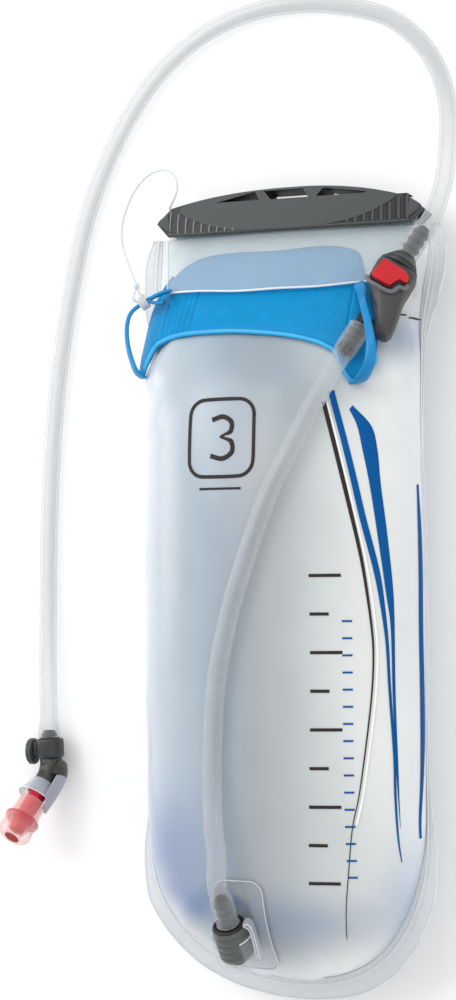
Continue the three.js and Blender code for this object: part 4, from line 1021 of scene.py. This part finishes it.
# ---- bite valve
def valve():
    # magnet collar: a ring with a block that carries the cup
    ring_profile = [(5.75, 8.2), (6.9, 8), (7.5, 8.6), (7.6, 9.4), (7.6, 16.6), (7.3, 17.4), (6.7, 18), (5.75, 18),
                    (5.75, 8.2)]
    piece("collar_ring", *lathe(ring_profile, hose_end, 48), DARK, "magnet_clip", ("magnet_collar",), 40,
          slot="dark_plastic")
    arm = piece("collar_block", *slab([(5.9, 9.2), (8.0, 9.6), (8.0, 16.6), (5.9, 17)], -4.4, 4.4,
                                      lambda p: hose_end(V(p[2], p[0], p[1]))), DARK, "magnet_clip",
                                      slot="dark_plastic")
    bevel(arm, 0.7, 3)
    outward = lambda p: hose_end(V(p[0], p[2], 14.4 - p[1]))
    cup = [(0, 8.2), (6.2, 8.2), (6.8, 8.6), (7, 9.2), (7, 11.0), (6.6, 11.5), (6.2, 11.6), (5.1, 11.6), (5.0, 9.6),
           (0, 9.6)]
    piece("magnet_cup_turned", *lathe(cup, outward, 56), GREY, "magnet_clip", ("magnet_cup",), 35)
    disc = [(0, 9.7), (4.6, 9.7), (4.7, 10), (4.7, 11.8), (4.5, 12), (0, 12)]
    piece("magnet_disc", *lathe(disc, outward, 48), STEEL, "magnet_clip", ("magnet",))
    # elbow: an upright sleeve, a rounded body that turns towards the mouth, and a cheek on its outer side
    start = V(-144, -70, VALVE_Z) + hose_axis * 7.3
    sleeve = lathe([(0, 18.2), (5.3, 18.2), (5.5, 18.6), (5.5, 27.0), (5.2, 28.0), (4.4, 28.6), (0, 28.6)],
                   hose_end, 48)
    bend = smoothed([start, V(-143.36, -87.6, VALVE_Z), ELBOW_CORNER - hose_axis * 3.6, ELBOW_CORNER + MOUTH_AXIS * 3,
                     ELBOW_CORNER + MOUTH_AXIS * 9], 40)
    radii = np.concatenate([np.full(16, 5.35), np.linspace(5.35, 6.3, 10), np.linspace(6.3, 5.9, 15)])
    piece("elbow_body", *tube(bend, radii, 36), ELBOW, "valve", ("valve_elbow",), 50)
    piece("elbow_sleeve", *sleeve, ELBOW, "valve")

    def curved_plate(name, finish, low, high, radius, first, last, thick=1.4, replaced=()):
        shares = np.linspace(-1, 1, 44)
        levels = np.linspace(0, 1, 26)
        points = []
        for inner in (0, thick):
            for level in levels:
                for share in shares:
                    a = radians(first + (last - first) * (share + 1) / 2)
                    z = low(share) + (high(share) - low(share)) * level
                    r = radius(z) - inner
                    points.append(mouth(polar(r, a, z)))
        m, n = len(levels), len(shares)
        outside = flipped(grid_faces(m, n))
        inside = [tuple(i + m * n for i in f) for f in grid_faces(m, n)]
        rim = list(range(n)) + [i * n + n - 1 for i in range(1, m)] + [(m - 1) * n + j for j in range(n - 2, -1, -1)]
        rim += [i * n for i in range(m - 2, 0, -1)]
        walls = [(rim[k], rim[(k + 1) % len(rim)], rim[(k + 1) % len(rim)] + m * n, rim[k] + m * n)
                 for k in range(len(rim))]
        made = piece(name, points, outside + inside + walls, finish, "valve", replaced, 50)
        return bevel(made, 0.3, 2, 50)

    curved_plate("shroud_plate", LILAC, lambda q: 1.2 + 3.2 * q * q, lambda q: 23.5 - 7.5 * abs(q) ** 2.2,
                 lambda z: 9.0 + 0.9 * sin(pi * min(1, max(0, (z + 2) / 26))), 202, 314,
                 replaced=("valve_shroud",))
    curved_plate("elbow_cheek", ELBOW, lambda q: -6.5 + 2.5 * q * q, lambda q: 2.6 + 3.0 * q * q,
                 lambda z: 5.2 + 3.9 * sin(0.5 * pi * min(1, max(0, (z + 7) / 8.5))), 205, 335, 2.4)
    # clear skirt that flares, open where the shroud is
    skirt = [(6.4, 9.3), (6.9, 9.2), (7.3, 10.6), (8.0, 13.4), (9.3, 17), (9.9, 18.3), (9.6, 18.8), (9.0, 18), (7.5, 14.2),
             (6.8, 11.2)]
    piece("skirt_flare", *swept_arc(skirt, mouth, -48, 204, 54), CLEAR, "valve", ("valve_skirt",))
    rim = [mouth(polar(9.8, a, 18.4)) for a in np.radians(np.linspace(-48, 204, 54))]
    piece("skirt_rim", *tube(np.array(rim), 0.3, 8), PLATE_EDGE, "valve")
    inner = lathe([(5.6, 9.4), (6.2, 9.4), (6.0, 16.2), (5.3, 16.2), (5.6, 9.4)], mouth, 48)
    piece("skirt_sleeve", *inner, BLUEGREY, "valve")
    # red core and the soft sheath over it
    core = [(0, 15.8), (4.6, 15.8), (4.8, 16.4), (4.7, 30.8), (5.5, 32), (5.8, 32.6), (5.8, 33.6), (5.4, 34.2),
            (4.6, 34.8),
            (4.4, 38), (4.0, 39.8), (3.6, 40), (0, 40)]
    piece("core_turned", *lathe(core, mouth, 40), CORE, "bite", ("valve_core",), 40)
    outer = [(6.5, 20.4), (7.4, 20.9), (7.6, 23), (7.7, 27), (7.9, 30.4), (8.7, 31.3), (9.3, 32), (9.4, 33.2), (9.1, 34.6),
             (8.6, 35.3), (8.5, 36.2), (8.8, 38), (9.1, 40), (9.0, 41.6), (8.4, 43), (7.0, 44.1), (5.4, 44.1), (4.4, 43.4)]
    inside_profile = [(4.3, 42.2), (5.6, 38.5), (6.2, 36), (6.5, 34.9), (6.5, 21.6), (6.5, 20.4)]
    piece("sheath_turned", *lathe(outer + inside_profile, mouth, 64), PINK, "bite", ("bite_sheath",), 60)
    flange = lathe([(7.9, 31.2), (8.9, 31.5), (9.5, 32.2), (9.5, 33.2), (9.0, 34.4), (7.9, 34.6), (7.9, 31.2)],
                   mouth, 56)
    piece("sheath_band", *flange, BAND, "bite")
    oval = [(4.6 * cos(a), 4.0 * sin(a)) for a in (2 * pi * i / 40 for i in range(40))]
    piece("mouth_oval", *slab(oval, 43.9, 44.3, mouth), MOUTH_RED, "bite")


valve()


# ---- printed marks
def print_ribbon(name, left, right, finish, lift=0.35, steps=90):
    """A thin printed shape between two lines of (x, y) on the front film."""
    to3 = lambda line: smoothed([V(x, y, 0) for x, y in line], steps)
    a, b = to3(left), to3(right)
    across = 5
    points = []
    for p, q in zip(a, b):
        for s in np.linspace(0, 1, across):
            x, y = (p * (1 - s) + q * s)[:2]
            points.append(on_front(x, y, lift + creases(x, y)))
    faces = flipped(grid_faces(steps + 1, across))
    made = piece(name, points, faces, finish, smooth=0)
    return solidify(made, 0.1, -1)


def widened(line, widths):
    """Two lines beside the given one."""
    points = [V(*p) for p in line]
    left, right_side = [], []
    for i, p in enumerate(points):
        ahead = unit(points[min(i + 1, len(points) - 1)] - points[max(i - 1, 0)])
        side = V(-ahead[1], ahead[0])
        w = widths[i] if hasattr(widths, "__len__") else widths
        left.append(tuple(p + side * w / 2))
        right_side.append(tuple(p - side * w / 2))
    return left, right_side


def prints():
    inner = [(35.5, 97.2), (42.1, 72.7), (46.3, 55.2), (50.3, 36.4), (56.5, 8.4), (58.8, -8.9), (60.2, -24.3),
             (60.9, -44),
             (62.5, -80.1), (62.6, -97.4), (63.4, -121.1), (64.1, -130.5)]
    print_ribbon("stripe_inner", *widened(inner, [2.9, 2.9, 2.9, 2.8, 2.5, 1.8, 1.3, 1.1, 1.0, 0.9, 0.6, 0.3]),
                 PRINT_BLUE)
    outer_left = [(44.1, 88), (47.4, 81.1), (50.3, 68.3), (53.6, 50.5), (57.6, 20.1), (60.3, -3.2), (61.6, -14.7),
                  (62.2, -49.9), (62.9, -80.2), (64.3, -113.6)]
    outer_right = [(45.6, 90), (54, 79.9), (56.4, 70), (58.1, 51.8), (60.5, 29.6), (62.8, 1.6), (63.2, -10.3),
                   (63.3, -49.9), (63.8, -80.2), (64.4, -113.9)]
    print_ribbon("stripe_outer", outer_left, outer_right, PRINT_BLUE)
    line = [(32.1, 91.9), (38.4, 67.7), (44.1, 43.6), (50.2, 13.3), (54.2, -20.6), (54.5, -32.3), (53.6, -49.6),
            (50.2, -79.6), (47.3, -99), (44.4, -112.1), (41.1, -137.8), (36.3, -168.7)]
    widths = [2.1, 2.0, 1.8, 1.4, 0.9, 0.8, 0.7, 0.6, 0.5, 0.45, 0.4, 0.3]
    print_ribbon("line_dark", *widened(line, widths), PRINT_DARK)
    halo = [(x + 1.7, y) for x, y in line[:-2]]
    print_ribbon("line_light", *widened(halo, [1.0] * len(halo)), PRINT_WHITE)
    # a plain capacity mark: an outline with a figure 3 in it, and a rule below
    cx, cy = -19.6, 75.8
    frame_line = rounded((cx, cy), (17.2, 19), 8, 7)
    frame_line += frame_line[:1]
    print_ribbon("mark_outline", *widened(frame_line, 1.7), PRINT_DARK, steps=160)
    three = [(cx - 5, cy + 9), (cx + 1, cy + 10.4), (cx + 5.4, cy + 7.6), (cx + 5, cy + 3), (cx + 0.4, cy + 0.6),
             (cx + 5.4, cy - 1.8), (cx + 6, cy - 7), (cx + 1.2, cy - 10.2), (cx - 5.4, cy - 8.8)]
    print_ribbon("mark_figure", *widened(three, 2.3), PRINT_DARK, steps=100)
    print_ribbon("mark_rule", *widened([(cx - 11, cy - 25), (cx + 11, cy - 25)], 1.1), PRINT_DARK, steps=20)
    edge_line = [(71.4, 52), (72.0, 27.3), (72.2, -23.9), (72.0, -72.7), (70.9, -120)]
    print_ribbon("edge_line", *widened(edge_line, [0.4, 0.8, 0.9, 0.9, 0.5]), PRINT_BLUE)
    # plain volume scale in place of the lettering
    for k in range(9):
        y = 8 - 18.5 * k
        width = 15 if k % 2 == 0 else 9
        x0 = 20 + 6 * (1 - ((k - 2) / 8) ** 2)
        print_ribbon(f"scale_tick_{k}", *widened([(x0, y), (x0 + width, y)], 1.5), PRINT_DARK, steps=10)
    for k in range(16):
        y = -14 - 8.2 * k
        print_ribbon(f"scale_fine_{k}", *widened([(41, y), (45.5, y)], 0.9), PRINT_BLUE, steps=6)
    for k, (x, y) in enumerate(((63.4, 135.2), (67.7, 134), (69, 134.2))):
        print_ribbon(f"fill_tick_{k}", *widened([(x - 1.6, y), (x + 1.6, y)], 0.7), PRINT_TICK, steps=6)


prints()

# ---- CAD nodes that stay as they are
for node, finish in (("port_o_ring", BLACK), ("latch_plate", STEEL), ("button_spring", STEEL), ("poppet_spring", STEEL),
                     ("shutoff_poppet", LILAC), ("coupling_o_ring", BLACK)):
    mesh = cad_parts[node].data
    mesh.materials.clear()
    mesh.materials.append(finish)

# ---- floor and light
floor_mesh = bpy.data.meshes.new("floor")
floor_mesh.from_pydata([(-3, -3, -0.0004), (3, -3, -0.0004), (3, 3, -0.0004), (-3, 3, -0.0004)], [], [(0, 1, 2, 3)])
floor = linked("floor", floor_mesh)
floor_mesh.materials.append(material("floor", (250, 250, 250), 0.7, 0.004, 3, 0.02, 400))
world = bpy.data.worlds.new("world")
world.use_nodes = True
background = world.node_tree.nodes["Background"].inputs
background["Color"].default_value, background["Strength"].default_value = (1, 1, 1, 1), 0.8
bpy.context.scene.world = world
bpy.context.scene.view_settings.view_transform = "Standard"


def area_light(name, at, size, power):
    data = bpy.data.lights.new(name, "AREA")
    data.size = size
    data.energy = power
    light = linked(name, data)
    light.location = at
    light.rotation_euler = (-Vector(at)).to_track_quat("-Z", "Y").to_euler()


area_light("key", (-0.9, 0.7, 1.5), 0.9, 10)
area_light("fill", (1.2, -0.4, 1.3), 1.2, 4)
area_light("top", (0.0, 1.1, 1.0), 0.7, 3)
area_light("left_strip", (-1.3, 0.2, 0.4), 0.5, 3)
